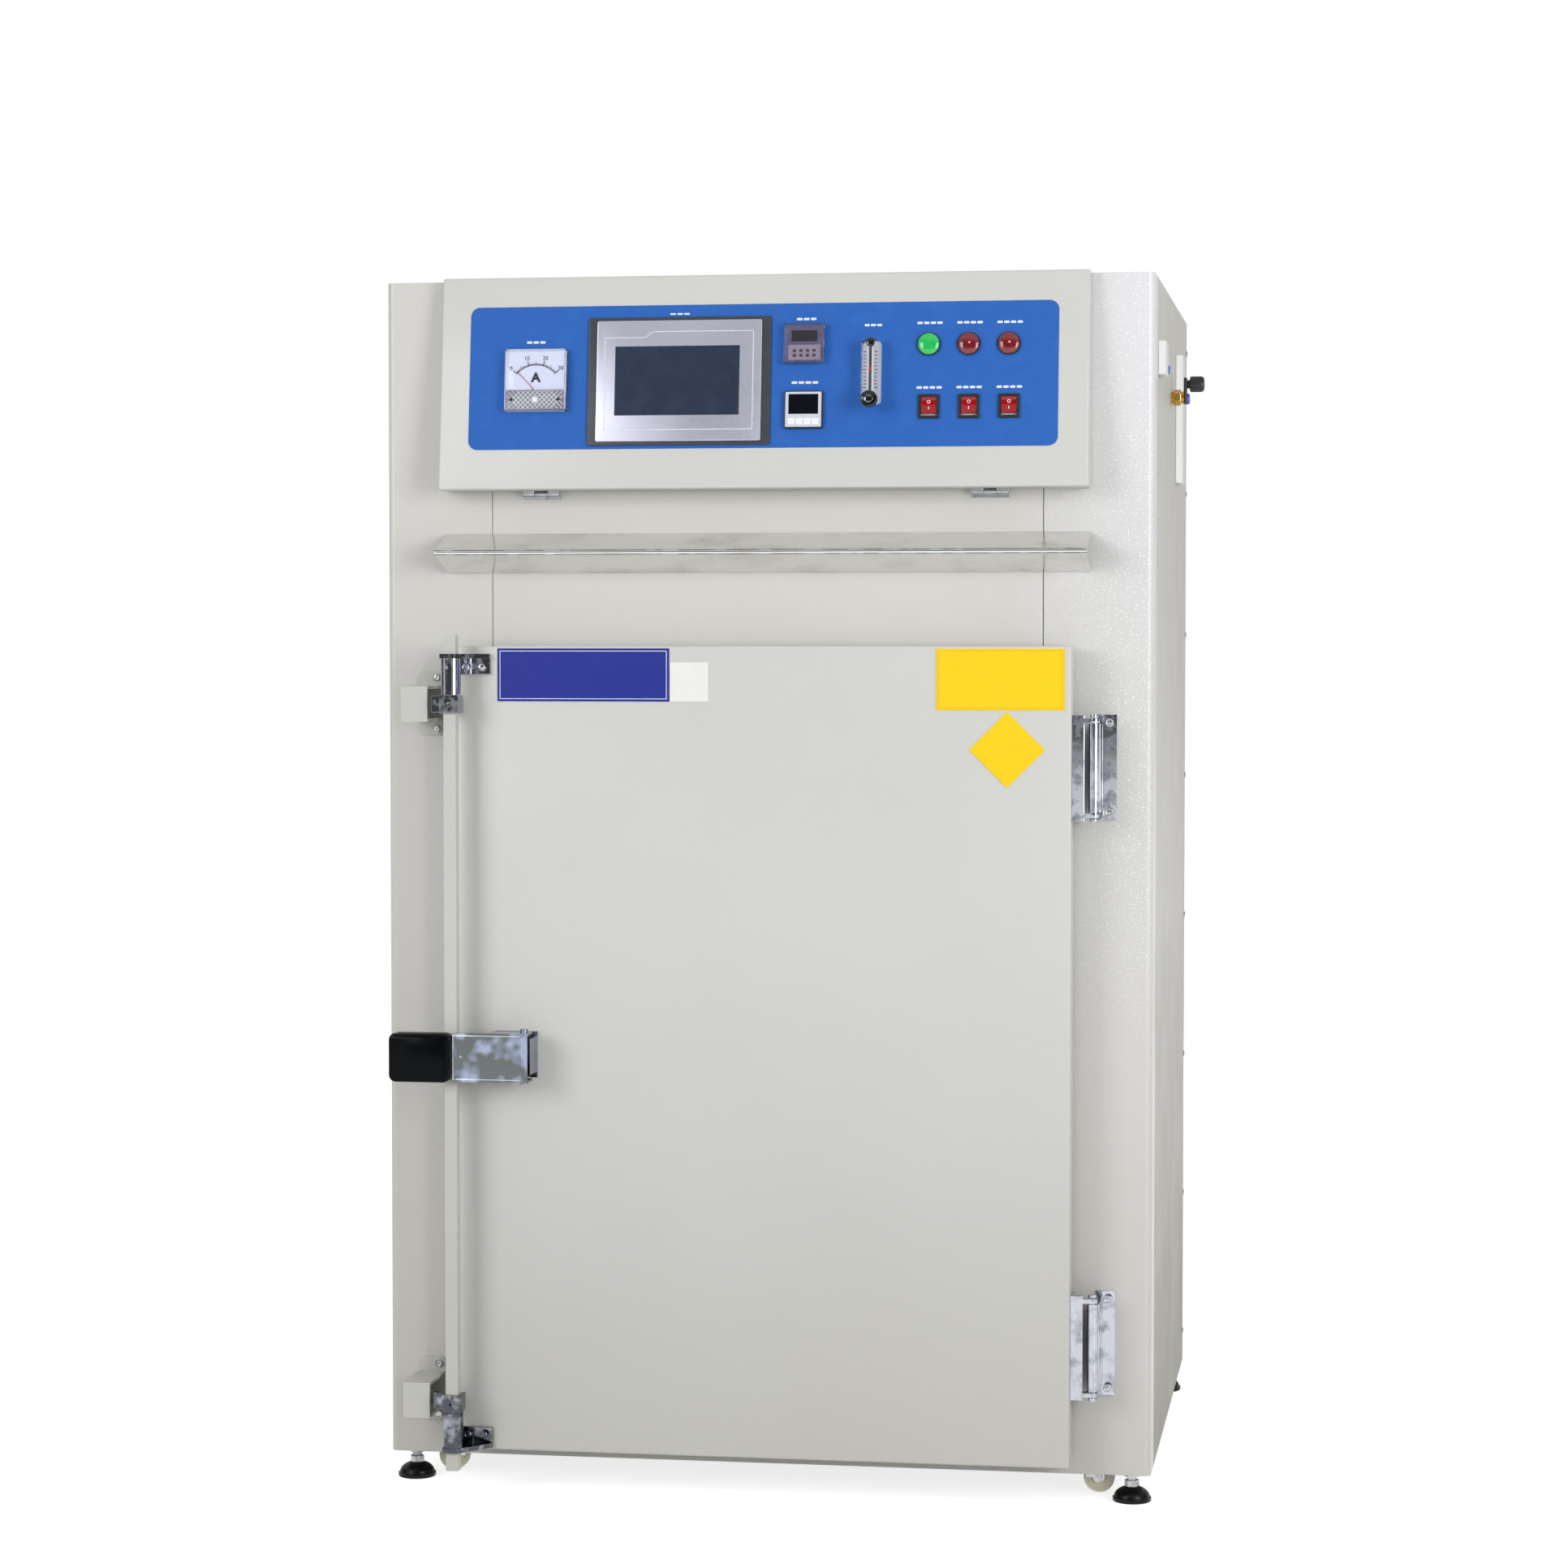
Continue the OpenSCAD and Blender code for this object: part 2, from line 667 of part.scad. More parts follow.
module flow_meter() {
  color("#dfe5e6") on_cover() {
    translate([flo[0], flo[1], 10.8]) cube([24, 82, 20], center = true);
    translate([flo[0], flo[1] + 36, 22]) cube([13, 10, 3], center = true);
  }
}
module flow_knob() {
  color("#1a1a1a") on_cover() translate([flo[0], flo[1] - 38, 21.2]) {
    cylinder(d = 8, h = 4);
    translate([0, 0, 2]) cylinder(d = 21, h = 12);
  }
}
module lamps() {
  color("#9c2a2a") on_cover() for (x = lamp_x) translate([x, lamp_s, 0]) {
    translate([0, 0, 0.8]) cylinder(d = 30, h = 4.2);
    translate([0, 0, 4]) rotate_extrude() intersection() {
      translate([0, -15.2]) circle(20, $fn = 60);
      square([11, 10]);
    }
    translate([0, 0, -28]) cylinder(d = 22, h = 30);
  }
}
module switch_frames() {
  color("#17181a") on_cover() for (x = rock_x) translate([x, rock_s, 0])
    difference() {
      union() {
        translate([0, 0, 0.8]) linear_extrude(3) round_rect(27, 31, 1.5);
        translate([0, 0, -9]) cube([22, 27, 24], center = true);
      }
      translate([0, 0, -1]) cube([20, 23.4, 60], center = true);
    }
}
module rocker(i) {
  // Curved cap that tips about its own width
  color("#d8281e") on_cover() translate([rock_x[i], rock_s, -4]) rotate([-8, 0, 0])
    difference() {
      rotate([0, 90, 0]) cylinder(d = 20.6, h = 19, center = true);
      translate([0, 0, 28]) rotate([0, 90, 0]) cylinder(d = 42, h = 30, center = true);
    }
}
module rocker_1() { rocker(0); }
module rocker_2() { rocker(1); }
module rocker_3() { rocker(2); }
module cover_hinge_moving() {
  color("#a9acae") for (s = [-1, 1]) translate([s * cov_hinge_x, 0, 0]) {
    for (k = [-1, 1]) {
      rod_x(cover_axis_y, cover_axis_z, k * 16.3 - 7.5, k * 16.3 + 7.5, 6);
      box(k * 16.3 - 7.5, k * 16.3 + 7.5, cover_axis_y - 3, cover_axis_y - 1,
        cover_axis_z, cover_z0);
    }
    rod_x(cover_axis_y, cover_axis_z, -20, 20, 3);
  }
}

// Casters
// The wheel trails behind the kingpin
module caster_fork(sx, y) {
  color("#a9adb2") translate([sx * cast_x, y, 0]) {
    translate([0, 0, floor_z - 5.6]) cylinder(d = 28, h = 2.6);
    translate([0, 0, floor_z - 5.6]) cylinder(d = 6, h = 5);
    for (s = [-1, 1]) translate([0, s * (wheel_w / 2 + 2.4) - 1, 0]) {
      translate([sx > 0 ? -7 : -15, 0, wheel_z]) cube([22, 2, floor_z - 4 - wheel_z]);
      translate([sx * trail, 2, wheel_z]) rotate([90, 0, 0]) cylinder(d = 15, h = 2);
    }
    translate([sx * trail, (wheel_w + 12) / 2, wheel_z]) rotate([90, 0, 0])
      cylinder(d = 6, h = wheel_w + 12);
    for (s = [-1, 1]) translate([sx * trail, s * (wheel_w / 2 + 5) + 2, wheel_z])
      rotate([90, 0, 0]) cylinder(d = 10, h = 4, $fn = 6);
  }
}
module caster_wheel(sx, y) {
  color("#e9e6c8") translate([sx * (cast_x + trail), y, wheel_z])
    rotate([90, 0, 0]) difference() {
      cylinder(d = wheel_d, h = wheel_w, center = true);
      cylinder(d = 6.2, h = wheel_w + 2, center = true);
      for (s = [-1, 1]) translate([0, 0, s * (wheel_w / 2)]) difference() {
        cylinder(d = wheel_d - 9, h = 3, center = true);
        cylinder(d = 11, h = 4, center = true);
      }
    }
}
module caster_fork_fl() { caster_fork(-1, cast_y); }
module caster_fork_fr() { caster_fork(1, cast_y); }
module caster_fork_rl() { caster_fork(-1, body_d - cast_y); }
module caster_fork_rr() { caster_fork(1, body_d - cast_y); }
module caster_wheel_fl() { caster_wheel(-1, cast_y); }
module caster_wheel_fr() { caster_wheel(1, cast_y); }
module caster_wheel_rl() { caster_wheel(-1, body_d - cast_y); }
module caster_wheel_rr() { caster_wheel(1, body_d - cast_y); }

place() side_panels();
place() back_panel();
place() top_panel();
place() bottom_panel();
place() front_frame();
place() front_filler();
place() mouth_frame();
place() chamber_liner();
place() insulation();
place() bay_floor();
place() ledge();
place() keepers();
place() frame_hinges();
place() cover_hinge_fixed();
place() foot_pads();
place() foot_studs();
place() caster_plates();
place() side_covers();
place() side_fittings();
place() door_shell();
place() door_fill();
place() door_pan();
place() door_gasket();
place() door_hinges();
place() bar_brackets();
place() handle_base();
place() door_plate_blue();
place() door_plate_white();
place() door_plates_yellow();
place() lever();
place() grip();
place() lock_bar();
place() bar_cams();
place() cover_shell();
place() membrane();
place() ammeter();
place() screen_unit();
place() instruments();
place() flow_meter();
place() lamps();
place() switch_frames();
place() cover_hinge_moving();
place() rocker_1();
place() rocker_2();
place() rocker_3();
place() flow_knob();
place() side_knob();
place() caster_fork_fl();
place() caster_fork_fr();
place() caster_fork_rl();
place() caster_fork_rr();
place() caster_wheel_fl();
place() caster_wheel_fr();
place() caster_wheel_rl();
place() caster_wheel_rr();
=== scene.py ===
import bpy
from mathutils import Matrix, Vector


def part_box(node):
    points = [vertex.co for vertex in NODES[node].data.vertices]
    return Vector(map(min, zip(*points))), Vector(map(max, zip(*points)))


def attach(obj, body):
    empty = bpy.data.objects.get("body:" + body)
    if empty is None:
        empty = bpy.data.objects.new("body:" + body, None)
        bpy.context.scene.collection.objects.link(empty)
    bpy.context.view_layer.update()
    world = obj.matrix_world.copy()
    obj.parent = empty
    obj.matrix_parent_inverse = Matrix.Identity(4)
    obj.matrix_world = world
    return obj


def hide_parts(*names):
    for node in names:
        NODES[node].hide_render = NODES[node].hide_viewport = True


bl_info = {
    "name": "Drying Oven Dressing",
    "version": (1, 0, 0),
    "blender": (4, 5, 0),
    "location": "View3D > Sidebar > Drying Oven",
    "description": "Finishes and fine pieces for a cabinet drying oven",
    "category": "Object",
}

import math

import bmesh
import bpy
from mathutils import Matrix, Vector

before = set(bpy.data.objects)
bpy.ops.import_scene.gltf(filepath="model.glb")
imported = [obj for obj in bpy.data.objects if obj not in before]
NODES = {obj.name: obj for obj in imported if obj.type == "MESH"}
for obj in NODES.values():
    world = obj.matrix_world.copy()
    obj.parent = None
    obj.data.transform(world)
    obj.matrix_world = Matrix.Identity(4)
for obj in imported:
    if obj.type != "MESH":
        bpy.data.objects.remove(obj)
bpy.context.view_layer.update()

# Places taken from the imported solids, in metres
COVER_LO, COVER_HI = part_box("cover_shell")
MID_X = (COVER_LO[0] + COVER_HI[0]) / 2
DOOR_LO, DOOR_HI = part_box("door_shell")
BAR_LO, BAR_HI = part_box("lock_bar")
BAR_X, BAR_Y = (BAR_LO[0] + BAR_HI[0]) / 2, (BAR_LO[1] + BAR_HI[1]) / 2
POST_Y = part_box("front_frame")[0][1]
SIDE_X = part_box("side_panels")[1][0]
REAR_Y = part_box("back_panel")[1][1]
# The side knob's axis and the blue plug's axis above the valve's axis
KNOB_UP = 0.018
PLUG_UP = 0.023


# Small helpers for modelling by hand

def lin(r, g, b):
    """An 8-bit screen colour as the linear colour that Blender's sockets hold."""
    def one(c):
        c = c / 255.0
        return c / 12.92 if c <= 0.04045 else ((c + 0.055) / 1.055) ** 2.4
    return (one(r), one(g), one(b), 1.0)


def idle():
    if bpy.context.object and bpy.context.object.mode != "OBJECT":
        bpy.ops.object.mode_set(mode="OBJECT")
    bpy.ops.object.select_all(action="DESELECT")


def take(o):
    idle()
    o.select_set(True)
    bpy.context.view_layer.objects.active = o


def settle(o):
    """The object's place goes into its mesh."""
    take(o)
    bpy.ops.object.transform_apply(location=True, rotation=True, scale=True)
    return o


def fresh(name):
    o = bpy.context.object
    o.name = name
    o.data.name = name
    return o


def pick_edges(test):
    o = bpy.context.object
    bpy.ops.mesh.select_all(action="DESELECT")
    bm = bmesh.from_edit_mesh(o.data)
    for e in bm.edges:
        if test(e.verts[0].co, e.verts[1].co):
            e.select_set(True)
    bmesh.update_edit_mesh(o.data)


def pick_faces(test):
    o = bpy.context.object
    bpy.ops.mesh.select_all(action="DESELECT")
    bm = bmesh.from_edit_mesh(o.data)
    for f in bm.faces:
        if test(f.calc_center_median(), f.normal):
            f.select_set(True)
    bmesh.update_edit_mesh(o.data)


def edit(o):
    take(o)
    bpy.ops.object.mode_set(mode="EDIT")


def leave():
    bpy.ops.object.mode_set(mode="OBJECT")


def smooth(o, angle=35):
    take(o)
    bpy.ops.object.shade_smooth_by_angle(angle=math.radians(angle))
    return o


def block(name, lo, hi, r=0.0, seg=2):
    """A block between two corners with all its edges rounded by r."""
    idle()
    mid = [(a + b) / 2 for a, b in zip(lo, hi)]
    bpy.ops.mesh.primitive_cube_add(size=1, location=mid, scale=[b - a for a, b in zip(lo, hi)])
    o = settle(fresh(name))
    if r > 0:
        edit(o)
        bpy.ops.mesh.select_all(action="SELECT")
        bpy.ops.mesh.bevel(offset=r, segments=seg, affect="EDGES")
        leave()
        smooth(o)
    return o


def plate(name, x, s, w, h, t, r, base=0.0, lip=0.0, seg=5):
    """A flat plate with rounded corners: x across, s up and t thick, rising from base."""
    idle()
    bpy.ops.mesh.primitive_cube_add(size=1, location=(x, s, base + t / 2), scale=(w, h, t))
    o = settle(fresh(name))
    edit(o)
    bpy.ops.mesh.select_mode(type="EDGE")
    pick_edges(lambda a, b: abs(a.z - b.z) > t * 0.5 and abs(a.x - b.x) + abs(a.y - b.y) < 1e-7)
    if r > 0:
        bpy.ops.mesh.bevel(offset=r, segments=seg, affect="EDGES")
    if lip > 0:
        top = base + t
        pick_edges(lambda a, b: abs(a.z - top) < 1e-7 and abs(b.z - top) < 1e-7)
        bpy.ops.mesh.bevel(offset=lip, segments=2, affect="EDGES")
    leave()
    smooth(o)
    return o


def turned(name, steps, n=40):
    """A turned piece along Z, from (radius, height) steps, closed at both ends."""
    idle()
    (r0, h0), (r1, h1) = steps[0], steps[1]
    bpy.ops.mesh.primitive_cylinder_add(vertices=n, radius=r0, depth=h1 - h0,
                                        location=(0, 0, (h0 + h1) / 2))
    o = settle(fresh(name))
    edit(o)
    bpy.ops.mesh.select_mode(type="FACE")
    pick_faces(lambda c, m: m.z > 0.9 and abs(c.z - h1) < 1e-7)
    if abs(r1 - r0) > 1e-7:
        bpy.ops.transform.resize(value=(r1 / r0, r1 / r0, 1), center_override=(0, 0, h1))
    last_r, last_h = r1, h1
    for r, h in steps[2:]:
        bpy.ops.mesh.extrude_region_move(TRANSFORM_OT_translate={"value": (0, 0, h - last_h)})
        k = r / last_r
        bpy.ops.transform.resize(value=(k, k, 1), center_override=(0, 0, h))
        last_r, last_h = r, h
    bpy.ops.mesh.select_all(action="SELECT")
    bpy.ops.mesh.normals_make_consistent(inside=False)
    leave()
    smooth(o)
    return o


def put(o, matrix):
    o.matrix_world = matrix
    return settle(o)


def weld_into(name, parts):
    """Several pieces become one object."""
    idle()
    for p in parts:
        p.select_set(True)
    bpy.context.view_layer.objects.active = parts[0]
    if len(parts) > 1:
        bpy.ops.object.join()
    return fresh(name)


def facing(axis, at):
    """Turns +Z to the given direction and moves to a place."""
    z = Vector(axis).normalized()
    up = Vector((0, 0, 1)) if abs(z.z) < 0.9 else Vector((0, 1, 0))
    x = up.cross(z).normalized()
    y = z.cross(x)
    m = Matrix((x, y, z)).transposed().to_4x4()
    return Matrix.Translation(at) @ m


def dress(o, mat):
    o.data.materials.clear()
    o.data.materials.append(mat)
    return o


def dress_node(name, mat):
    for s in NODES[name].material_slots:
        s.material = mat


def finish(o, mat, body):
    dress(o, mat)
    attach(o, body)
    return o


def ease(name, width, seg=2):
    """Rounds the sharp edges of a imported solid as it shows."""
    o = NODES[name]
    w = o.modifiers.new("weld", "WELD")
    w.merge_threshold = 0.00001
    d = o.modifiers.new("flats", "DECIMATE")
    d.decimate_type = "DISSOLVE"
    d.angle_limit = math.radians(1.0)
    b = o.modifiers.new("edges", "BEVEL")
    b.width = width
    b.segments = seg
    b.limit_method = "ANGLE"
    b.angle_limit = math.radians(40)
    b.use_clamp_overlap = True
    b.harden_normals = False
    n = o.modifiers.new("normals", "WEIGHTED_NORMAL")
    n.weight = 100
    n.keep_sharp = True


# Shader groups

def new_group(name, ins, outs):
    g = bpy.data.node_groups.new(name, "ShaderNodeTree")
    for label, kind, value in ins:
        s = g.interface.new_socket(name=label, in_out="INPUT", socket_type=kind)
        s.default_value = value
    for label, kind in outs:
        g.interface.new_socket(name=label, in_out="OUTPUT", socket_type=kind)
    gi = g.nodes.new("NodeGroupInput")
    go = g.nodes.new("NodeGroupOutput")
    return g, gi, go


def noise(nt, scale, detail=3.0, rough=0.5, vec=None):
    n = nt.nodes.new("ShaderNodeTexNoise")
    n.inputs["Scale"].default_value = scale
    n.inputs["Detail"].default_value = detail
    n.inputs["Roughness"].default_value = rough
    if vec is None:
        tc = nt.nodes.new("ShaderNodeTexCoord")
        vec = tc.outputs["Object"]
    nt.links.new(vec, n.inputs["Vector"])
    return n


def ramp(nt, src, lo, hi, a=0.0, b=1.0):
    m = nt.nodes.new("ShaderNodeMapRange")
    m.inputs["From Min"].default_value = lo
    m.inputs["From Max"].default_value = hi
    m.inputs["To Min"].default_value = a
    m.inputs["To Max"].default_value = b
    nt.links.new(src, m.inputs["Value"])
    return m.outputs["Result"]


def calc(nt, op, a, b, clamp=False):
    m = nt.nodes.new("ShaderNodeMath")
    m.operation = op
    m.use_clamp = clamp
    for i, v in enumerate((a, b)):
        if isinstance(v, (int, float)):
            m.inputs[i].default_value = v
        else:
            nt.links.new(v, m.inputs[i])
    return m.outputs[0]


def mix_colour(nt, fac, a, b):
    m = nt.nodes.new("ShaderNodeMix")
    m.data_type = "RGBA"
    sockets = [s for s in m.inputs if s.enabled]
    for s, v in zip(sockets, (fac, a, b)):
        if isinstance(v, (int, float, tuple)):
            s.default_value = v
        else:
            nt.links.new(v, s)
    return [s for s in m.outputs if s.enabled][0]


def make_groups():
    # Hammered enamel: fine dimples and a slow change of tone, with painted light and white glints on the right and top,
    # and a painted shade and reflection near the ground
    g, gi, go = new_group(
        "hammered_enamel",
        [("Colour", "NodeSocketColor", (0.6, 0.6, 0.58, 1)), ("Shade", "NodeSocketColor", (0.5, 0.5, 0.48, 1)),
         ("Dimple Scale", "NodeSocketFloat", 330.0), ("Grime", "NodeSocketFloat", 0.15),
         ("Painted Light", "NodeSocketFloat", 0.0), ("Low Shade", "NodeSocketFloat", 0.2),
         ("Low Reflection Colour", "NodeSocketColor", (0.3, 0.28, 0.2, 1))],
        [("Colour", "NodeSocketColor"), ("Roughness", "NodeSocketFloat"), ("Height", "NodeSocketFloat")])
    tc = g.nodes.new("ShaderNodeTexCoord")
    fine = noise(g, 330, 2.5, 0.55, tc.outputs["Object"])
    g.links.new(gi.outputs["Dimple Scale"], fine.inputs["Scale"])
    cell = g.nodes.new("ShaderNodeTexVoronoi")
    cell.inputs["Scale"].default_value = 210
    g.links.new(tc.outputs["Object"], cell.inputs["Vector"])
    slow = noise(g, 1.7, 3, 0.5, tc.outputs["Object"])
    smear = noise(g, 9, 4, 0.6, tc.outputs["Object"])
    tone = ramp(g, slow.outputs["Fac"], 0.35, 0.65)
    col = mix_colour(g, calc(g, "MULTIPLY", tone, 0.5), gi.outputs["Colour"], gi.outputs["Shade"])
    grime = calc(g, "MULTIPLY", ramp(g, smear.outputs["Fac"], 0.55, 0.75), gi.outputs["Grime"])
    col = mix_colour(g, grime, col, gi.outputs["Shade"])
    place = g.nodes.new("ShaderNodeSeparateXYZ")
    g.links.new(tc.outputs["Object"], place.inputs[0])
    # Painted shade and reflection near the ground: below 0.75 m the paint turns towards a darker, warm colour
    low = calc(g, "MULTIPLY", ramp(g, place.outputs["Z"], 0.75, 0.0), gi.outputs["Low Shade"])
    col = mix_colour(g, low, col, gi.outputs["Low Reflection Colour"])
    # Painted light on the right and upper parts: a lighter tone, and white glints in small cells, where the light
    # grazes
    glint_cells = g.nodes.new("ShaderNodeTexVoronoi")
    glint_cells.inputs["Scale"].default_value = 300
    g.links.new(tc.outputs["Object"], glint_cells.inputs["Vector"])
    painted_glints = calc(g, "LESS_THAN", glint_cells.outputs["Distance"], 0.21)
    side = ramp(g, place.outputs["X"], 0.30, 0.46)
    lit = calc(g, "MULTIPLY", side, gi.outputs["Painted Light"])
    up = ramp(g, place.outputs["Z"], 0.9, 1.5, 0.1, 0.9)
    col = mix_colour(g, calc(g, "MULTIPLY", lit, up), col, lin(226, 226, 231))
    high = calc(g, "MULTIPLY", lit, ramp(g, place.outputs["Z"], 0.5, 0.85))
    col = mix_colour(g, calc(g, "MULTIPLY", painted_glints, high), col, lin(255, 255, 255))
    g.links.new(col, go.inputs["Colour"])
    rough = ramp(g, smear.outputs["Fac"], 0.3, 0.7, 0.36, 0.47)
    g.links.new(rough, go.inputs["Roughness"])
    hgt = calc(g, "ADD", fine.outputs["Fac"], calc(g, "MULTIPLY", cell.outputs["Distance"], 0.5))
    g.links.new(hgt, go.inputs["Height"])

    # Handling marks on bright metal: smudges, faint scratches, and a mask for a painted dark reflection of the ground
    g, gi, go = new_group(
        "handling_marks",
        [("Base", "NodeSocketFloat", 0.1), ("Amount", "NodeSocketFloat", 0.25),
         ("Scale", "NodeSocketFloat", 30.0), ("Fineness", "NodeSocketFloat", 4.0)],
        [("Roughness", "NodeSocketFloat"), ("Mask", "NodeSocketFloat"), ("Height", "NodeSocketFloat"),
         ("Low", "NodeSocketFloat")])
    tc = g.nodes.new("ShaderNodeTexCoord")
    n1 = noise(g, 30, 4, 0.55, tc.outputs["Object"])
    g.links.new(gi.outputs["Scale"], n1.inputs["Scale"])
    g.links.new(gi.outputs["Fineness"], n1.inputs["Detail"])
    mp = g.nodes.new("ShaderNodeMapping")
    mp.inputs["Scale"].default_value = (900, 900, 12)
    g.links.new(tc.outputs["Object"], mp.inputs["Vector"])
    scr = noise(g, 1.0, 2, 0.5, mp.outputs["Vector"])
    place = g.nodes.new("ShaderNodeSeparateXYZ")
    g.links.new(tc.outputs["Object"], place.inputs[0])
    # Painted reflection: a mask that grows from 0.7 m down to 0.3 m
    g.links.new(ramp(g, place.outputs["Z"], 0.7, 0.3), go.inputs["Low"])
    mask = ramp(g, n1.outputs["Fac"], 0.48, 0.66)
    g.links.new(mask, go.inputs["Mask"])
    r = calc(g, "ADD", gi.outputs["Base"], calc(g, "MULTIPLY", mask, gi.outputs["Amount"]))
    g.links.new(r, go.inputs["Roughness"])
    g.links.new(calc(g, "ADD", n1.outputs["Fac"], calc(g, "MULTIPLY", scr.outputs["Fac"], 0.3)), go.inputs["Height"])

    # Brushed grain along X
    g, gi, go = new_group(
        "brushed_grain",
        [("Stretch", "NodeSocketVector", (6.0, 900.0, 900.0))],
        [("Grain", "NodeSocketFloat"), ("Cloud", "NodeSocketFloat")])
    tc = g.nodes.new("ShaderNodeTexCoord")
    mp = g.nodes.new("ShaderNodeMapping")
    g.links.new(tc.outputs["Object"], mp.inputs["Vector"])
    g.links.new(gi.outputs["Stretch"], mp.inputs["Scale"])
    n1 = noise(g, 1.0, 3, 0.6, mp.outputs["Vector"])
    n2 = noise(g, 6.0, 3, 0.5, tc.outputs["Object"])
    g.links.new(n1.outputs["Fac"], go.inputs["Grain"])
    g.links.new(n2.outputs["Fac"], go.inputs["Cloud"])

    # Fine moulded grain for plastics, film and rubber, with dust in patches
    g, gi, go = new_group(
        "moulded_grain",
        [("Scale", "NodeSocketFloat", 900.0), ("Dust", "NodeSocketFloat", 0.1)],
        [("Dust", "NodeSocketFloat"), ("Height", "NodeSocketFloat"), ("Tone", "NodeSocketFloat")])
    tc = g.nodes.new("ShaderNodeTexCoord")
    n1 = noise(g, 900, 2, 0.5, tc.outputs["Object"])
    g.links.new(gi.outputs["Scale"], n1.inputs["Scale"])
    n2 = noise(g, 40, 5, 0.65, tc.outputs["Object"])
    d = calc(g, "MULTIPLY", ramp(g, n2.outputs["Fac"], 0.5, 0.75), gi.outputs["Dust"])
    g.links.new(d, go.inputs["Dust"])
    g.links.new(n1.outputs["Fac"], go.inputs["Height"])
    g.links.new(n2.outputs["Fac"], go.inputs["Tone"])


def new_mat(name):
    m = bpy.data.materials.new(name)
    m.use_nodes = True
    nt = m.node_tree
    return m, nt, nt.nodes["Principled BSDF"]


def use_group(nt, name):
    n = nt.nodes.new("ShaderNodeGroup")
    n.node_tree = bpy.data.node_groups[name]
    return n


def bump(nt, bs, height, strength, distance):
    b = nt.nodes.new("ShaderNodeBump")
    b.inputs["Strength"].default_value = strength
    b.inputs["Distance"].default_value = distance
    nt.links.new(height, b.inputs["Height"])
    nt.links.new(b.outputs["Normal"], bs.inputs["Normal"])


# Every enamel takes a painted shade and reflection near the ground, by the low amount and its colour
def enamel(name, colour, shade, scale=330.0, depth=0.00022, grime=0.15, strength=0.55,
           painted_light=0.0, low=0.25, low_reflection_colour=(150, 145, 128), spec=0.35, coat=0.2):
    m, nt, bs = new_mat(name)
    g = use_group(nt, "hammered_enamel")
    g.inputs["Colour"].default_value = colour
    g.inputs["Shade"].default_value = shade
    g.inputs["Dimple Scale"].default_value = scale
    g.inputs["Grime"].default_value = grime
    g.inputs["Painted Light"].default_value = painted_light
    g.inputs["Low Shade"].default_value = low
    g.inputs["Low Reflection Colour"].default_value = lin(*low_reflection_colour)
    nt.links.new(g.outputs["Colour"], bs.inputs["Base Color"])
    nt.links.new(g.outputs["Roughness"], bs.inputs["Roughness"])
    bs.inputs["Specular IOR Level"].default_value = spec
    bs.inputs["Coat Weight"].default_value = coat
    bs.inputs["Coat Roughness"].default_value = 0.16
    bump(nt, bs, g.outputs["Height"], strength, depth)
    return m


def bright_metal(name, colour, smudge, base=0.1, amount=0.25, scale=30.0, fine=4.0, depth=0.00004,
                 painted_ground_reflection=None):
    """Plated metal with marks, and a painted dark reflection of the ground towards the bottom, in the last colour
    given.
    """
    m, nt, bs = new_mat(name)
    g = use_group(nt, "handling_marks")
    g.inputs["Base"].default_value = base
    g.inputs["Amount"].default_value = amount
    g.inputs["Scale"].default_value = scale
    g.inputs["Fineness"].default_value = fine
    clean = colour if painted_ground_reflection is None else mix_colour(nt, g.outputs["Low"], colour, painted_ground_reflection)
    nt.links.new(mix_colour(nt, g.outputs["Mask"], clean, smudge), bs.inputs["Base Color"])
    nt.links.new(g.outputs["Roughness"], bs.inputs["Roughness"])
    bs.inputs["Metallic"].default_value = 1.0
    bump(nt, bs, g.outputs["Height"], 0.012, depth)
    return m


def brushed(name, colour, dark, stretch, rough=0.32):
    m, nt, bs = new_mat(name)
    g = use_group(nt, "brushed_grain")
    g.inputs["Stretch"].default_value = stretch
    f = calc(nt, "MULTIPLY", g.outputs["Grain"], g.outputs["Cloud"])
    nt.links.new(mix_colour(nt, ramp(nt, f, 0.15, 0.4), dark, colour), bs.inputs["Base Color"])
    nt.links.new(ramp(nt, g.outputs["Grain"], 0.3, 0.7, rough - 0.08, rough + 0.1), bs.inputs["Roughness"])
    bs.inputs["Metallic"].default_value = 1.0
    bump(nt, bs, g.outputs["Grain"], 0.2, 0.00005)
    return m


def moulded(name, colour, dusty, rough=0.4, scale=900.0, dust=0.1, depth=0.00005, coat=0.0, strength=0.2,
            spec=0.5):
    m, nt, bs = new_mat(name)
    g = use_group(nt, "moulded_grain")
    g.inputs["Scale"].default_value = scale
    g.inputs["Dust"].default_value = dust
    nt.links.new(mix_colour(nt, g.outputs["Dust"], colour, dusty), bs.inputs["Base Color"])
    nt.links.new(ramp(nt, g.outputs["Tone"], 0.3, 0.7, rough - 0.05, rough + 0.07), bs.inputs["Roughness"])
    bs.inputs["Coat Weight"].default_value = coat
    bs.inputs["Specular IOR Level"].default_value = spec
    bump(nt, bs, g.outputs["Height"], strength, depth)
    return m


def clear(name, colour, rough, ior=1.45, alpha_tint=1.0):
    m, nt, bs = new_mat(name)
    g = use_group(nt, "moulded_grain")
    bs.inputs["Base Color"].default_value = colour
    bs.inputs["Transmission Weight"].default_value = alpha_tint
    bs.inputs["IOR"].default_value = ior
    nt.links.new(ramp(nt, g.outputs["Tone"], 0.3, 0.7, rough, rough + 0.04), bs.inputs["Roughness"])
    return m


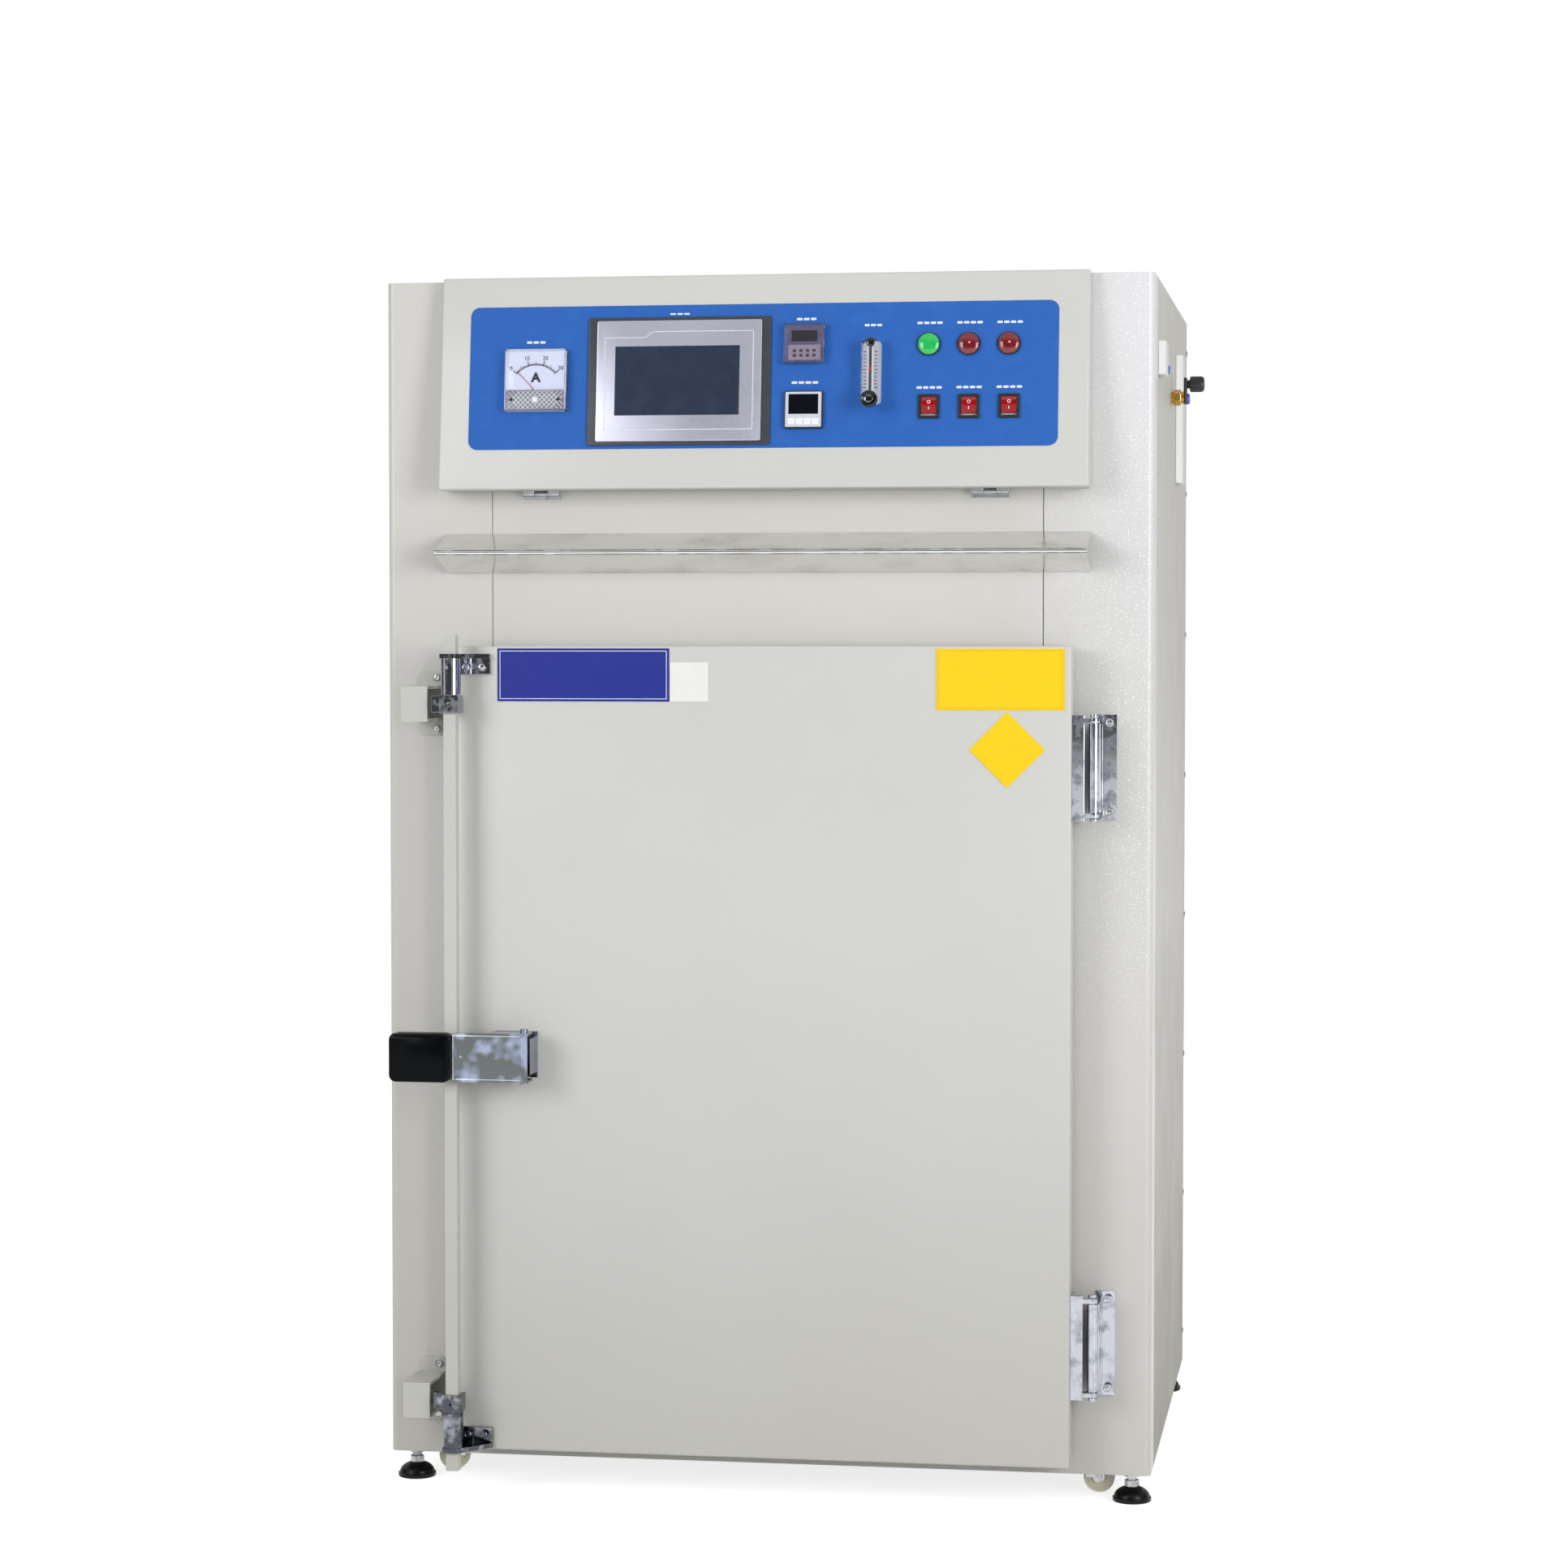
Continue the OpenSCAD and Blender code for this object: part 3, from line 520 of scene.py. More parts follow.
def lens(name, colour, deep, glow=0.0, coat=0.6):
    """Coloured lens with fine facets, lit from behind where glow is above 0."""
    m, nt, bs = new_mat(name)
    tc = nt.nodes.new("ShaderNodeTexCoord")
    v = nt.nodes.new("ShaderNodeTexVoronoi")
    v.inputs["Scale"].default_value = 420
    nt.links.new(tc.outputs["Object"], v.inputs["Vector"])
    f = ramp(nt, v.outputs["Distance"], 0.0, 0.7)
    c = mix_colour(nt, f, colour, deep)
    nt.links.new(c, bs.inputs["Base Color"])
    g = use_group(nt, "moulded_grain")
    nt.links.new(ramp(nt, g.outputs["Tone"], 0.3, 0.7, 0.08, 0.14), bs.inputs["Roughness"])
    bs.inputs["Coat Weight"].default_value = coat
    if glow > 0:
        nt.links.new(c, bs.inputs["Emission Color"])
        bs.inputs["Emission Strength"].default_value = glow
    return m


def make_materials():
    make_groups()
    k = {}
    # The body's enamel carries the painted light and glints on the right post
    k["enamel"] = enamel("enamel_body", lin(207, 206, 202), lin(198, 196, 191), painted_light=0.9)
    k["enamel_door"] = enamel("enamel_door", lin(205, 205, 202), lin(196, 195, 191), strength=0.3)
    # The side panels take a strong painted shade and reflection near the ground
    k["enamel_side"] = enamel("enamel_side", lin(204, 202, 197), lin(194, 192, 184), low=0.7,
                               low_reflection_colour=(104, 100, 80), spec=0.06, coat=0.0)
    k["enamel_back"] = enamel("enamel_back", lin(206, 205, 201), lin(196, 194, 188), low=0.15)
    k["enamel_cover"] = enamel("enamel_cover", lin(205, 205, 201), lin(197, 197, 192), strength=0.35)
    k["enamel_bar"] = enamel("enamel_bar", lin(198, 199, 193), lin(184, 185, 178), 500, 0.0001)
    # The underside and bay floor: the body's enamel much darker, a painted shade, with heavy grime
    k["enamel_under_shaded"] = enamel("enamel_underside_shaded", lin(140, 140, 136), lin(110, 110, 104), 300, 0.0001, 0.6)
    k["enamel_hood"] = enamel("enamel_side_cover", lin(226, 227, 226), lin(212, 213, 210), 500, 0.0001)
    k["polished"] = bright_metal("polished_ledge", lin(226, 226, 223), lin(212, 211, 206), 0.16, 0.12, 14)
    # Chrome turns darker near the ground, a painted dark reflection of the ground
    k["chrome"] = bright_metal("bright_chrome", lin(178, 180, 188), lin(152, 154, 163), 0.05, 0.2, 60,
                               painted_ground_reflection=lin(78, 80, 86))
    k["hinge"] = bright_metal("hinge_chrome", lin(184, 187, 195), lin(150, 153, 163), 0.06, 0.2, 55)
    k["lever"] = bright_metal("lever_chrome", lin(104, 110, 110), lin(164, 174, 200), 0.10, 0.34, 46, 1.2)
    # A painted highlight: near-white metal for the strips on the lever's edges
    k["edge_chrome"] = bright_metal("rolled_edge_chrome", lin(236, 240, 248), lin(220, 224, 236), 0.12, 0.1, 60)
    # Painted dark reflection for the ledge's nose
    k["edge_dark"] = bright_metal("painted_dark_reflection", lin(104, 106, 112), lin(70, 72, 78), 0.14, 0.1, 60)
    k["zinc"] = bright_metal("zinc_plate", lin(190, 193, 196), lin(150, 152, 150), 0.28, 0.2, 80)
    k["stainless"] = brushed("stainless_liner", lin(196, 197, 198), lin(160, 161, 163), (5, 700, 700), 0.34)
    k["stainless_pan"] = brushed("stainless_pan", lin(200, 201, 202), lin(166, 167, 169), (700, 700, 5), 0.32)
    k["bezel"] = brushed("silver_bezel", lin(208, 210, 224), lin(186, 188, 203), (900, 900, 900), 0.45)
    k["wool"] = moulded("mineral_wool", lin(196, 184, 140), lin(160, 148, 108), 0.9, 160, 0.6, 0.002)
    k["gasket"] = moulded("silicone_gasket", lin(150, 64, 50), lin(176, 110, 96), 0.5, 500, 0.3)
    k["rubber"] = moulded("black_rubber", lin(10, 10, 10), lin(34, 34, 33), 0.3, 500, 0.1, spec=0.2)
    k["nylon"] = moulded("cream_nylon", lin(236, 234, 206), lin(210, 204, 170), 0.38, 300, 0.5)
    k["film_blue"] = moulded("blue_film", lin(42, 98, 181), lin(54, 110, 191), 0.6, 1500, 0.5, 0.00008, strength=0.35, spec=0.2)
    k["film_navy"] = moulded("navy_film", lin(30, 44, 140), lin(38, 52, 150), 0.4, 900, 0.3, spec=0.3)
    k["film_white"] = moulded("white_film", lin(232, 232, 230), lin(216, 216, 214), 0.35, 900, 0.4)
    k["film_yellow"] = moulded("yellow_film", lin(248, 206, 20), lin(240, 196, 24), 0.45, 900, 0.4, spec=0.25)
    k["film_line"] = moulded("amber_line", lin(214, 178, 34), lin(206, 170, 34), 0.4, 900, 0.2)
    k["print_white"] = moulded("white_print", lin(226, 232, 242), lin(206, 214, 230), 0.45, 900, 0.3)
    k["print_black"] = moulded("black_print", lin(24, 24, 26), lin(44, 44, 46), 0.5, 900, 0.2)
    k["print_red"] = moulded("red_print", lin(176, 48, 40), lin(190, 80, 70), 0.5, 900, 0.2)
    k["black_gloss"] = moulded("black_gloss", lin(12, 12, 14), lin(30, 30, 32), 0.16, 600, 0.05, coat=0.5, strength=0.06)
    k["grip_black"] = moulded("grip_black", lin(9, 11, 14), lin(24, 25, 28), 0.2, 600, 0.05, strength=0.06,
                              spec=0.06)
    k["black_plastic"] = moulded("black_plastic", lin(30, 31, 34), lin(58, 58, 60), 0.4, 900, 0.1)
    k["grey_frame"] = moulded("charcoal_frame", lin(54, 56, 62), lin(70, 72, 78), 0.42, 900, 0.2)
    k["screen"] = moulded("dark_screen", lin(40, 50, 72), lin(48, 58, 80), 0.3, 60, 0.4, 0.00002, strength=0.05, spec=0.3)
    k["display"] = moulded("dark_display", lin(14, 15, 24), lin(24, 25, 34), 0.2, 600, 0.1, spec=0.12)
    k["timer_case"] = moulded("timer_case", lin(64, 59, 97), lin(76, 70, 107), 0.25, 900, 0.2, coat=0.5)
    k["timer_keys"] = moulded("timer_keys", lin(140, 128, 142), lin(124, 114, 130), 0.35, 900, 0.3)
    k["silver_plastic"] = moulded("silver_plastic", lin(206, 208, 216), lin(184, 186, 196), 0.32, 900, 0.3)
    k["white_key"] = moulded("white_key", lin(238, 238, 244), lin(216, 216, 226), 0.36, 900, 0.3)
    k["dial"] = moulded("dial_paper", lin(216, 222, 238), lin(206, 212, 230), 0.55, 1200, 0.3)
    k["hatch"] = moulded("hatched_cover", lin(136, 132, 146), lin(112, 108, 122), 0.25, 240, 0.9)
    k["acrylic"] = clear("clear_acrylic", (0.93, 0.96, 0.97, 1), 0.03)
    k["case_clear"] = clear("clear_case", (0.96, 0.96, 1.0, 1), 0.02, 1.3)
    k["red_gloss"] = lens("red_rocker", lin(162, 9, 13), lin(150, 4, 8), 0.06, 0.1)
    k["lamp_spot"] = moulded("lamp_spot", lin(226, 170, 176), lin(206, 140, 150), 0.3, 900, 0.2)
    k["lamp_red"] = lens("red_lens", lin(146, 34, 44), lin(104, 22, 30), 0.03)
    k["lamp_green"] = lens("green_lens", lin(36, 178, 84), lin(24, 160, 72), 0.36)
    k["brass"] = bright_metal("turned_brass", lin(206, 164, 84), lin(160, 118, 56), 0.16, 0.2, 120)
    k["ring_blue"] = moulded("release_ring", lin(44, 96, 206), lin(60, 110, 214), 0.3, 900, 0.1)
    return k


MAT = {}


# Sizes a user would change

class OvenPanelSizes(bpy.types.PropertyGroup):
    lamp_rim: bpy.props.FloatProperty(name="Lamp rim", description="Outer radius of a lamp's rim", default=0.015, unit="LENGTH")
    caption_h: bpy.props.FloatProperty(name="Caption bar", description="Height of a bare caption bar", default=0.0026, unit="LENGTH")
    dial_tick: bpy.props.FloatProperty(name="Dial tick", description="Length of a long tick on the dial", default=0.007, unit="LENGTH")
    edge_soft: bpy.props.FloatProperty(name="Edge rounding", description="Rounding of the folded sheet edges", default=0.003, unit="LENGTH")


class OvenStageLook(bpy.types.PropertyGroup):
    key_power: bpy.props.FloatProperty(name="Key light", description="Power of the large soft light", default=70.0)
    fill_power: bpy.props.FloatProperty(name="Right light", description="Power of the light on the right", default=94.0)
    rear_power: bpy.props.FloatProperty(name="Rear light", description="Power of the light behind", default=46.0)
    world_level: bpy.props.FloatProperty(name="Surround", description="Strength of the even light all round", default=0.58)
    floor_tone: bpy.props.FloatVectorProperty(name="Floor", description="Colour of the floor", subtype="COLOR", size=3, default=(0.55, 0.55, 0.55))


# The sloping control cover

def cover_place():
    """x across from the middle, y up the slope from the lower edge, z outwards."""
    rise = COVER_HI[2] - COVER_LO[2]
    lean = math.atan2(0.032, rise)
    return Matrix.Translation((MID_X, COVER_LO[1], COVER_LO[2])) @ Matrix.Rotation(math.pi / 2 - lean, 4, "X")


def on_cover(o, mat, body="cover"):
    put(o, cover_place())
    return finish(o, mat, body)


def bar_mark(name, x, s, w, h, n, t=0.0003):
    return plate(name, x, s, w, h, t, min(w, h) * 0.2, base=n, seg=1)


def caption_row(x, s, w, h, count, n=0.0008):
    """A caption place: a row of plain short bars, with nothing written."""
    step = w / count
    return [bar_mark("cap", x - w / 2 + step * (i + 0.5), s, step * 0.8, h * 0.36, n) for i in range(count)]


class OVEN_OT_cover(bpy.types.Operator):
    """Folded control cover with soft edges and its blue film"""
    bl_idname = "oven.cover"
    bl_label = "Control cover"

    def execute(self, context):
        size = context.scene.oven_panel
        lo, hi = COVER_LO, COVER_HI
        r = size.edge_soft
        # A pan: a block narrowed at the top, hollowed from behind
        o = block("cover_pan", lo, hi)
        edit(o)
        bpy.ops.mesh.select_mode(type="VERT")
        bm = bmesh.from_edit_mesh(o.data)
        for v in bm.verts:
            v.select_set(abs(v.co.z - hi[2]) < 1e-6 and abs(v.co.y - lo[1]) < 1e-6)
        bmesh.update_edit_mesh(o.data)
        bpy.ops.transform.translate(value=(0, 0.032, 0))
        bpy.ops.mesh.select_mode(type="FACE")
        pick_faces(lambda c, m: m.y > 0.9)
        bpy.ops.mesh.delete(type="ONLY_FACE")
        bpy.ops.mesh.select_mode(type="EDGE")
        pick_edges(lambda a, b: not (a.y > hi[1] - 1e-6 and b.y > hi[1] - 1e-6))
        bpy.ops.mesh.bevel(offset=r, segments=3, affect="EDGES")
        bpy.ops.mesh.select_all(action="SELECT")
        bpy.ops.mesh.normals_make_consistent(inside=False)
        leave()
        sol = o.modifiers.new("wall", "SOLIDIFY")
        sol.thickness = 0.0019
        sol.offset = -1
        take(o)
        bpy.ops.object.modifier_apply(modifier="wall")
        smooth(o)
        finish(o, MAT["enamel_cover"], "cover")
        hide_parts("cover_shell")
        dress_node("membrane", MAT["film_blue"])
        # Bare caption places
        caps = []
        for x, s, w, h, n in ((-0.294, 0.1915, 0.026, 0.0085, 3), (-0.106, 0.2262, 0.027, 0.006, 3),
                              (0.0585, 0.2175, 0.027, 0.0085, 3), (0.0575, 0.1355, 0.036, 0.0085, 4),
                              (0.1445, 0.2085, 0.024, 0.008, 3),
                              (0.217, 0.2105, 0.034, 0.0085, 4), (0.268, 0.2105, 0.034, 0.0085, 4),
                              (0.319, 0.2105, 0.034, 0.0085, 4), (0.217, 0.1275, 0.034, 0.0085, 4),
                              (0.268, 0.1275, 0.034, 0.0085, 4), (0.319, 0.1275, 0.034, 0.0085, 4)):
            caps += caption_row(x, s, w, h, n)
        on_cover(weld_into("caption_bars", caps), MAT["print_white"])
        return {"FINISHED"}


class OVEN_OT_ammeter(bpy.types.Operator):
    """Panel ammeter: clear case, printed dial, needle and hatched lower cover"""
    bl_idname = "oven.ammeter"
    bl_label = "Ammeter"

    def execute(self, context):
        tick = context.scene.oven_panel.dial_tick
        x, s = -0.292, 0.141
        body = plate("ammeter_case", x, s, 0.080, 0.080, 0.006, 0.003, base=0.0008, lip=0.0006)
        on_cover(body, MAT["dial"])
        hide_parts("ammeter")
        back = turned("ammeter_drum", [(0.0258, -0.040), (0.0258, 0.0008)])
        back.location = (x, s, 0)
        on_cover(settle(back), MAT["black_plastic"])
        face = plate("ammeter_dial", x, s + 0.012, 0.072, 0.050, 0.0005, 0.002, base=0.0070)
        on_cover(face, MAT["dial"])
        # Arc with ticks about a centre low on the dial
        cx, cs, rad = x, s - 0.014, 0.034
        marks = []
        for i in range(31):
            a = math.radians(138 - i * 3.2)
            long = i % 10 == 0
            ln = tick if long else (tick * 0.75 if i % 5 == 0 else tick * 0.45)
            m = plate("tick", 0, 0, 0.0011 if long else 0.0006, ln, 0.0003, 0, base=0)
            rr = rad + ln / 2 - 0.001
            put(m, Matrix.Translation((cx + rr * math.cos(a), cs + rr * math.sin(a), 0.0076)) @
                Matrix.Rotation(a - math.pi / 2, 4, "Z"))
            marks.append(m)
        for i in range(24):
            a = math.radians(138 - (i + 0.5) * 4.0)
            m = plate("arc", 0, 0, 0.0026, 0.0009, 0.0003, 0, base=0)
            put(m, Matrix.Translation((cx + rad * math.cos(a), cs + rad * math.sin(a), 0.0076)) @
                Matrix.Rotation(a - math.pi / 2, 4, "Z"))
            marks.append(m)
        on_cover(weld_into("dial_marks", marks), MAT["print_black"])
        figs = []
        for i, word in enumerate(("0", "10", "20", "30")):
            a = math.radians(138 - i * 32)
            figs.append((word, cx + (rad + 0.0098) * math.cos(a), cs + (rad + 0.0098) * math.sin(a), 0.0072))
        figs.append(("A", cx, s + 0.003, 0.0165))
        parts = []
        for word, px, ps, size in figs:
            idle()
            bpy.ops.object.text_add(location=(0, 0, 0))
            t = bpy.context.object
            t.data.body = word
            t.data.size = size
            t.data.align_x = "CENTER"
            t.data.align_y = "CENTER"
            t.data.extrude = 0.0002
            if word == "A":
                t.data.offset = 0.0007
            take(t)
            bpy.ops.object.convert(target="MESH")
            t = bpy.context.object
            put(t, Matrix.Translation((px, ps, 0.0078)))
            parts.append(t)
        on_cover(weld_into("dial_figures", parts), MAT["print_black"])
        # Needle at zero
        a = math.radians(134)
        nd = plate("needle", 0, 0, 0.0007, 0.034, 0.0003, 0, base=0)
        put(nd, Matrix.Translation((cx + 0.019 * math.cos(a), cs + 0.019 * math.sin(a), 0.0086)) @
            Matrix.Rotation(a - math.pi / 2, 4, "Z"))
        on_cover(nd, MAT["print_red"])
        # Clear front, raised over the hatched lower cover
        lower = plate("ammeter_lower", x, s - 0.026, 0.076, 0.026, 0.0036, 0.0015, base=0.0070, lip=0.0006)
        on_cover(lower, MAT["hatch"])
        lines = []
        for i in range(-9, 10):
            for sg in (-1, 1):
                w = 0.034
                px = x + i * 0.0062
                if abs(px - x) > 0.034:
                    continue
                m = plate("hatch", 0, 0, 0.0009, w, 0.0003, 0, base=0)
                put(m, Matrix.Translation((px, s - 0.026, 0.0106)) @ Matrix.Rotation(sg * math.radians(45), 4, "Z"))
                edit(m)
                for co, no in (((0, s - 0.0145, 0), (0, 1, 0)), ((0, s - 0.0375, 0), (0, -1, 0)),
                               ((x + 0.037, 0, 0), (1, 0, 0)), ((x - 0.037, 0, 0), (-1, 0, 0))):
                    bpy.ops.mesh.select_all(action="SELECT")
                    bpy.ops.mesh.bisect(plane_co=co, plane_no=no, clear_outer=True, use_fill=True)
                leave()
                lines.append(m)
        on_cover(weld_into("hatch_lines", lines), MAT["print_white"])
        cap = plate("ammeter_front", x, s + 0.013, 0.077, 0.051, 0.0022, 0.002, base=0.0098, lip=0.0008)
        on_cover(cap, MAT["case_clear"])
        rims = []
        for sg in (-1, 1):
            rims.append(plate("rim", x + sg * 0.0392, s, 0.0016, 0.080, 0.0112, 0, base=0.0010))
            rims.append(plate("rim", x, s + sg * 0.0392, 0.080, 0.0016, 0.0112, 0, base=0.0010))
        on_cover(weld_into("ammeter_rim", rims), MAT["case_clear"])
        screws = []
        for sg in (-1, 1):
            p = turned("screw", [(0.0026, 0.0106), (0.0026, 0.0118), (0.0020, 0.0124)], 20)
            p.location = (x + sg * 0.031, s - 0.026, 0)
            screws.append(settle(p))
        on_cover(weld_into("ammeter_screws", screws), MAT["chrome"])
        z = turned("zero_screw", [(0.0036, 0.0106), (0.0036, 0.0126), (0.0026, 0.0134)], 24)
        z.location = (x, s - 0.026, 0)
        on_cover(settle(z), MAT["white_key"])
        return {"FINISHED"}


class OVEN_OT_screen(bpy.types.Operator):
    """Touch screen: charcoal frame, silver face, white line and dark glass"""
    bl_idname = "oven.screen"
    bl_label = "Touch screen"

    def execute(self, context):
        x, s = -0.1055, 0.139
        frame_o = plate("screen_frame", x, s, 0.238, 0.166, 0.0030, 0.003, base=0.0008, lip=0.0012)
        on_cover(frame_o, MAT["grey_frame"])
        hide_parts("screen_unit")
        back = plate("screen_back", x, s, 0.187, 0.131, 0.036, 0.002, base=-0.0352)
        on_cover(back, MAT["black_plastic"])
        face = plate("screen_face", x, s, 0.2148, 0.1566, 0.0026, 0.0025, base=0.0038, lip=0.0008)
        on_cover(face, MAT["bezel"])
        # The line round the face steps down at the upper left
        n = 0.00645
        w, h = 0.193, 0.127
        l, r = x - w / 2, x + w / 2
        t, b = s + h / 2, s - h / 2
        step_x, drop = l + 0.052, 0.0075
        runs = [((l, b), (r, b)), ((r, b), (r, t)), ((r, t), (step_x + 0.010, t)),
                ((step_x + 0.010, t), (step_x, t - drop)), ((step_x, t - drop), (l, t - drop)), ((l, t - drop), (l, b))]
        parts = []
        for (ax, ay), (bx, by) in runs:
            ln = math.hypot(bx - ax, by - ay)
            m = plate("line", 0, 0, ln + 0.0008, 0.0009, 0.0003, 0, base=0)
            put(m, Matrix.Translation(((ax + bx) / 2, (ay + by) / 2, n)) @
                Matrix.Rotation(math.atan2(by - ay, bx - ax), 4, "Z"))
            parts.append(m)
        on_cover(weld_into("screen_line", parts), MAT["print_white"])
        glass = plate("screen_glass", x - 0.002, s, 0.162, 0.0895, 0.0004, 0.0005, base=0.0064)
        on_cover(glass, MAT["screen"])
        return {"FINISHED"}


class OVEN_OT_controllers(bpy.types.Operator):
    """Timer with its clear cover, and the limit controller with four keys"""
    bl_idname = "oven.controllers"
    bl_label = "Controllers"

    def execute(self, context):
        x = 0.057
        # Timer
        s = 0.185
        body = plate("timer_body", x, s, 0.049, 0.048, 0.0060, 0.0018, base=0.0008, lip=0.0008)
        on_cover(body, MAT["timer_case"])
        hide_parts("instruments")
        for nm, ss in (("timer_back", 0.185), ("controller_back", 0.100)):
            on_cover(plate(nm, x, ss, 0.045, 0.045, 0.064, 0.001, base=-0.0640), MAT["black_plastic"])
        on_cover(plate("timer_display", x, s + 0.0095, 0.033, 0.014, 0.0004, 0.0006, base=0.0067), MAT["display"])
        on_cover(plate("timer_keypad", x, s - 0.0115, 0.041, 0.019, 0.0005, 0.0006, base=0.0067), MAT["timer_keys"])
        keys = []
        for i in range(4):
            for k in range(2):
                keys.append(plate("key", x - 0.0126 + i * 0.0084, s - 0.0095 - k * 0.0062, 0.0040, 0.0036, 0.0010, 0.0004, base=0.0071))
        on_cover(weld_into("timer_keys", keys), MAT["black_plastic"])
        # Clear cover: four walls and a front
        walls = []
        for sg in (-1, 1):
            walls.append(plate("wall", x + sg * 0.0255, s, 0.0012, 0.0505, 0.0094, 0, base=0.0010))
            walls.append(plate("wall", x, s + sg * 0.0250, 0.0510, 0.0012, 0.0094, 0, base=0.0010))
        walls.append(plate("front", x, s, 0.0518, 0.0508, 0.0012, 0.002, base=0.0104, lip=0.0004))
        on_cover(weld_into("timer_cover", walls), MAT["case_clear"])
        # Limit controller
        s = 0.100
        on_cover(plate("controller_frame", x, s, 0.049, 0.048, 0.0060, 0.0018, base=0.0008, lip=0.0010),
                 MAT["black_plastic"])
        on_cover(plate("controller_face", x, s, 0.0462, 0.0450, 0.0008, 0.0012, base=0.0066), MAT["silver_plastic"])
        on_cover(plate("controller_display", x, s + 0.0068, 0.0382, 0.0255, 0.0005, 0.0006, base=0.0072), MAT["display"])
        keys = [plate("key", x - 0.0153 + i * 0.0102, s - 0.0155, 0.0092, 0.0082, 0.0009, 0.0006, base=0.0073, lip=0.0002)
                for i in range(4)]
        on_cover(weld_into("controller_keys", keys), MAT["white_key"])
        return {"FINISHED"}


class OVEN_OT_flow(bpy.types.Operator):
    """Flow meter: clear block with a tapered tube, float, stop and scale"""
    bl_idname = "oven.flow"
    bl_label = "Flow meter"

    def execute(self, context):
        x, s = 0.144, 0.1465
        body = plate("flow_block", x, s, 0.024, 0.082, 0.020, 0.006, base=0.0008, lip=0.0010)
        on_cover(body, MAT["acrylic"])
        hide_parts("flow_meter")
        tube = block("flow_tube", (x - 0.0042, s - 0.028, 0.0180), (x + 0.0042, s + 0.030, 0.0215), 0.0015, 3)
        on_cover(tube, MAT["silver_plastic"])
        bore = block("flow_bore", (x - 0.0018, s - 0.028, 0.0205), (x + 0.0018, s + 0.030, 0.0222), 0.0006, 2)
        on_cover(bore, MAT["grey_frame"])
        back = plate("flow_back", x, s, 0.0216, 0.078, 0.0006, 0.006, base=0.0010)
        on_cover(back, MAT["silver_plastic"])
        marks = []
        for i in range(11):
            for sg in (-1, 1):
                ln = 0.0046 if i % 5 == 0 else 0.0034
                marks.append(plate("tick", x + sg * (0.0062 + ln / 2 - 0.001), s - 0.022 + i * 0.0046, ln, 0.0009, 0.0003, 0, base=0.0208))
        on_cover(weld_into("flow_ticks", marks), MAT["print_black"])
        plug = turned("flow_stop", [(0.0052, 0.0208), (0.0060, 0.0216), (0.0060, 0.0226), (0.0048, 0.0234)], 28)
        plug.location = (x, s + 0.036, 0)
        on_cover(settle(plug), MAT["black_gloss"])
        bob = turned("flow_float", [(0.0016, 0.0204), (0.0021, 0.0222), (0.0010, 0.0230)], 16)
        bob.location = (x, s + 0.002, 0)
        on_cover(settle(bob), MAT["print_red"])
        # Knob with a grooved skirt
        kx, ks = x, s - 0.038
        steps = [(0.0092, 0.0232), (0.0105, 0.0242), (0.0105, 0.0330), (0.0094, 0.0345), (0.0064, 0.0350), (0.0060, 0.0340)]
        knob = turned("flow_knob_cap", steps, 48)
        knob.location = (kx, ks, 0)
        settle(knob)
        ribs = []
        for i in range(24):
            a = i * math.tau / 24
            rb = plate("rib", 0, 0, 0.0009, 0.0009, 0.0080, 0, base=0)
            put(rb, Matrix.Translation((kx + 0.0104 * math.cos(a), ks + 0.0104 * math.sin(a), 0.0246)) @ Matrix.Rotation(a, 4, "Z"))
            ribs.append(rb)
        disc = turned("flow_knob_disc", [(0.0056, 0.0346), (0.0056, 0.0351), (0.0050, 0.0354)], 36)
        disc.location = (kx, ks, 0)
        on_cover(settle(disc), MAT["lever"], "flow_knob")
        o = weld_into("flow_knob_cap", [knob] + ribs)
        on_cover(o, MAT["black_gloss"], "flow_knob")
        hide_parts("flow_knob")
        return {"FINISHED"}


class OVEN_OT_lamps(bpy.types.Operator):
    """Three pilot lamps: rim, domed lens, and a light spot on the dark ones"""
    bl_idname = "oven.lamps"
    bl_label = "Lamps"

    def execute(self, context):
        rim_r = context.scene.oven_panel.lamp_rim
        s = 0.183
        first = None
        for i, (x, lens_name) in enumerate(((0.216, "lamp_green"), (0.267, "lamp_red"), (0.318, "lamp_red"))):
            rim = turned("lamp_rim_%d" % (i + 1), [(rim_r - 0.0006, 0.0008), (rim_r, 0.0020), (rim_r - 0.0004, 0.0042),
                                                   (rim_r - 0.0009, 0.0046), (rim_r - 0.0013, 0.0042)], 56)
            rim.location = (x, s, 0)
            on_cover(settle(rim), MAT["black_gloss"])
            if first is None:
                first = rim
            cap = turned("lamp_lens_%d" % (i + 1), [(0.0137, 0.0036), (0.0135, 0.0052), (0.0122, 0.0064), (0.0096, 0.0074),
                                                    (0.0060, 0.0081), (0.0022, 0.0084)], 56)
            cap.location = (x, s, 0)
            on_cover(settle(cap), MAT[lens_name])
            barrel = turned("lamp_barrel_%d" % (i + 1), [(0.0108, -0.0280), (0.0108, 0.0008)], 32)
            barrel.location = (x, s, 0)
            on_cover(settle(barrel), MAT["black_plastic"])
            if i:
                dot = turned("lamp_bulb_%d" % i, [(0.0014, 0.0082), (0.0014, 0.0086), (0.0008, 0.0088)], 20)
                dot.location = (x + 0.0012, s + 0.0006, 0)
                on_cover(settle(dot), MAT["lamp_spot"])
        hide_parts("lamps")
        return {"FINISHED"}


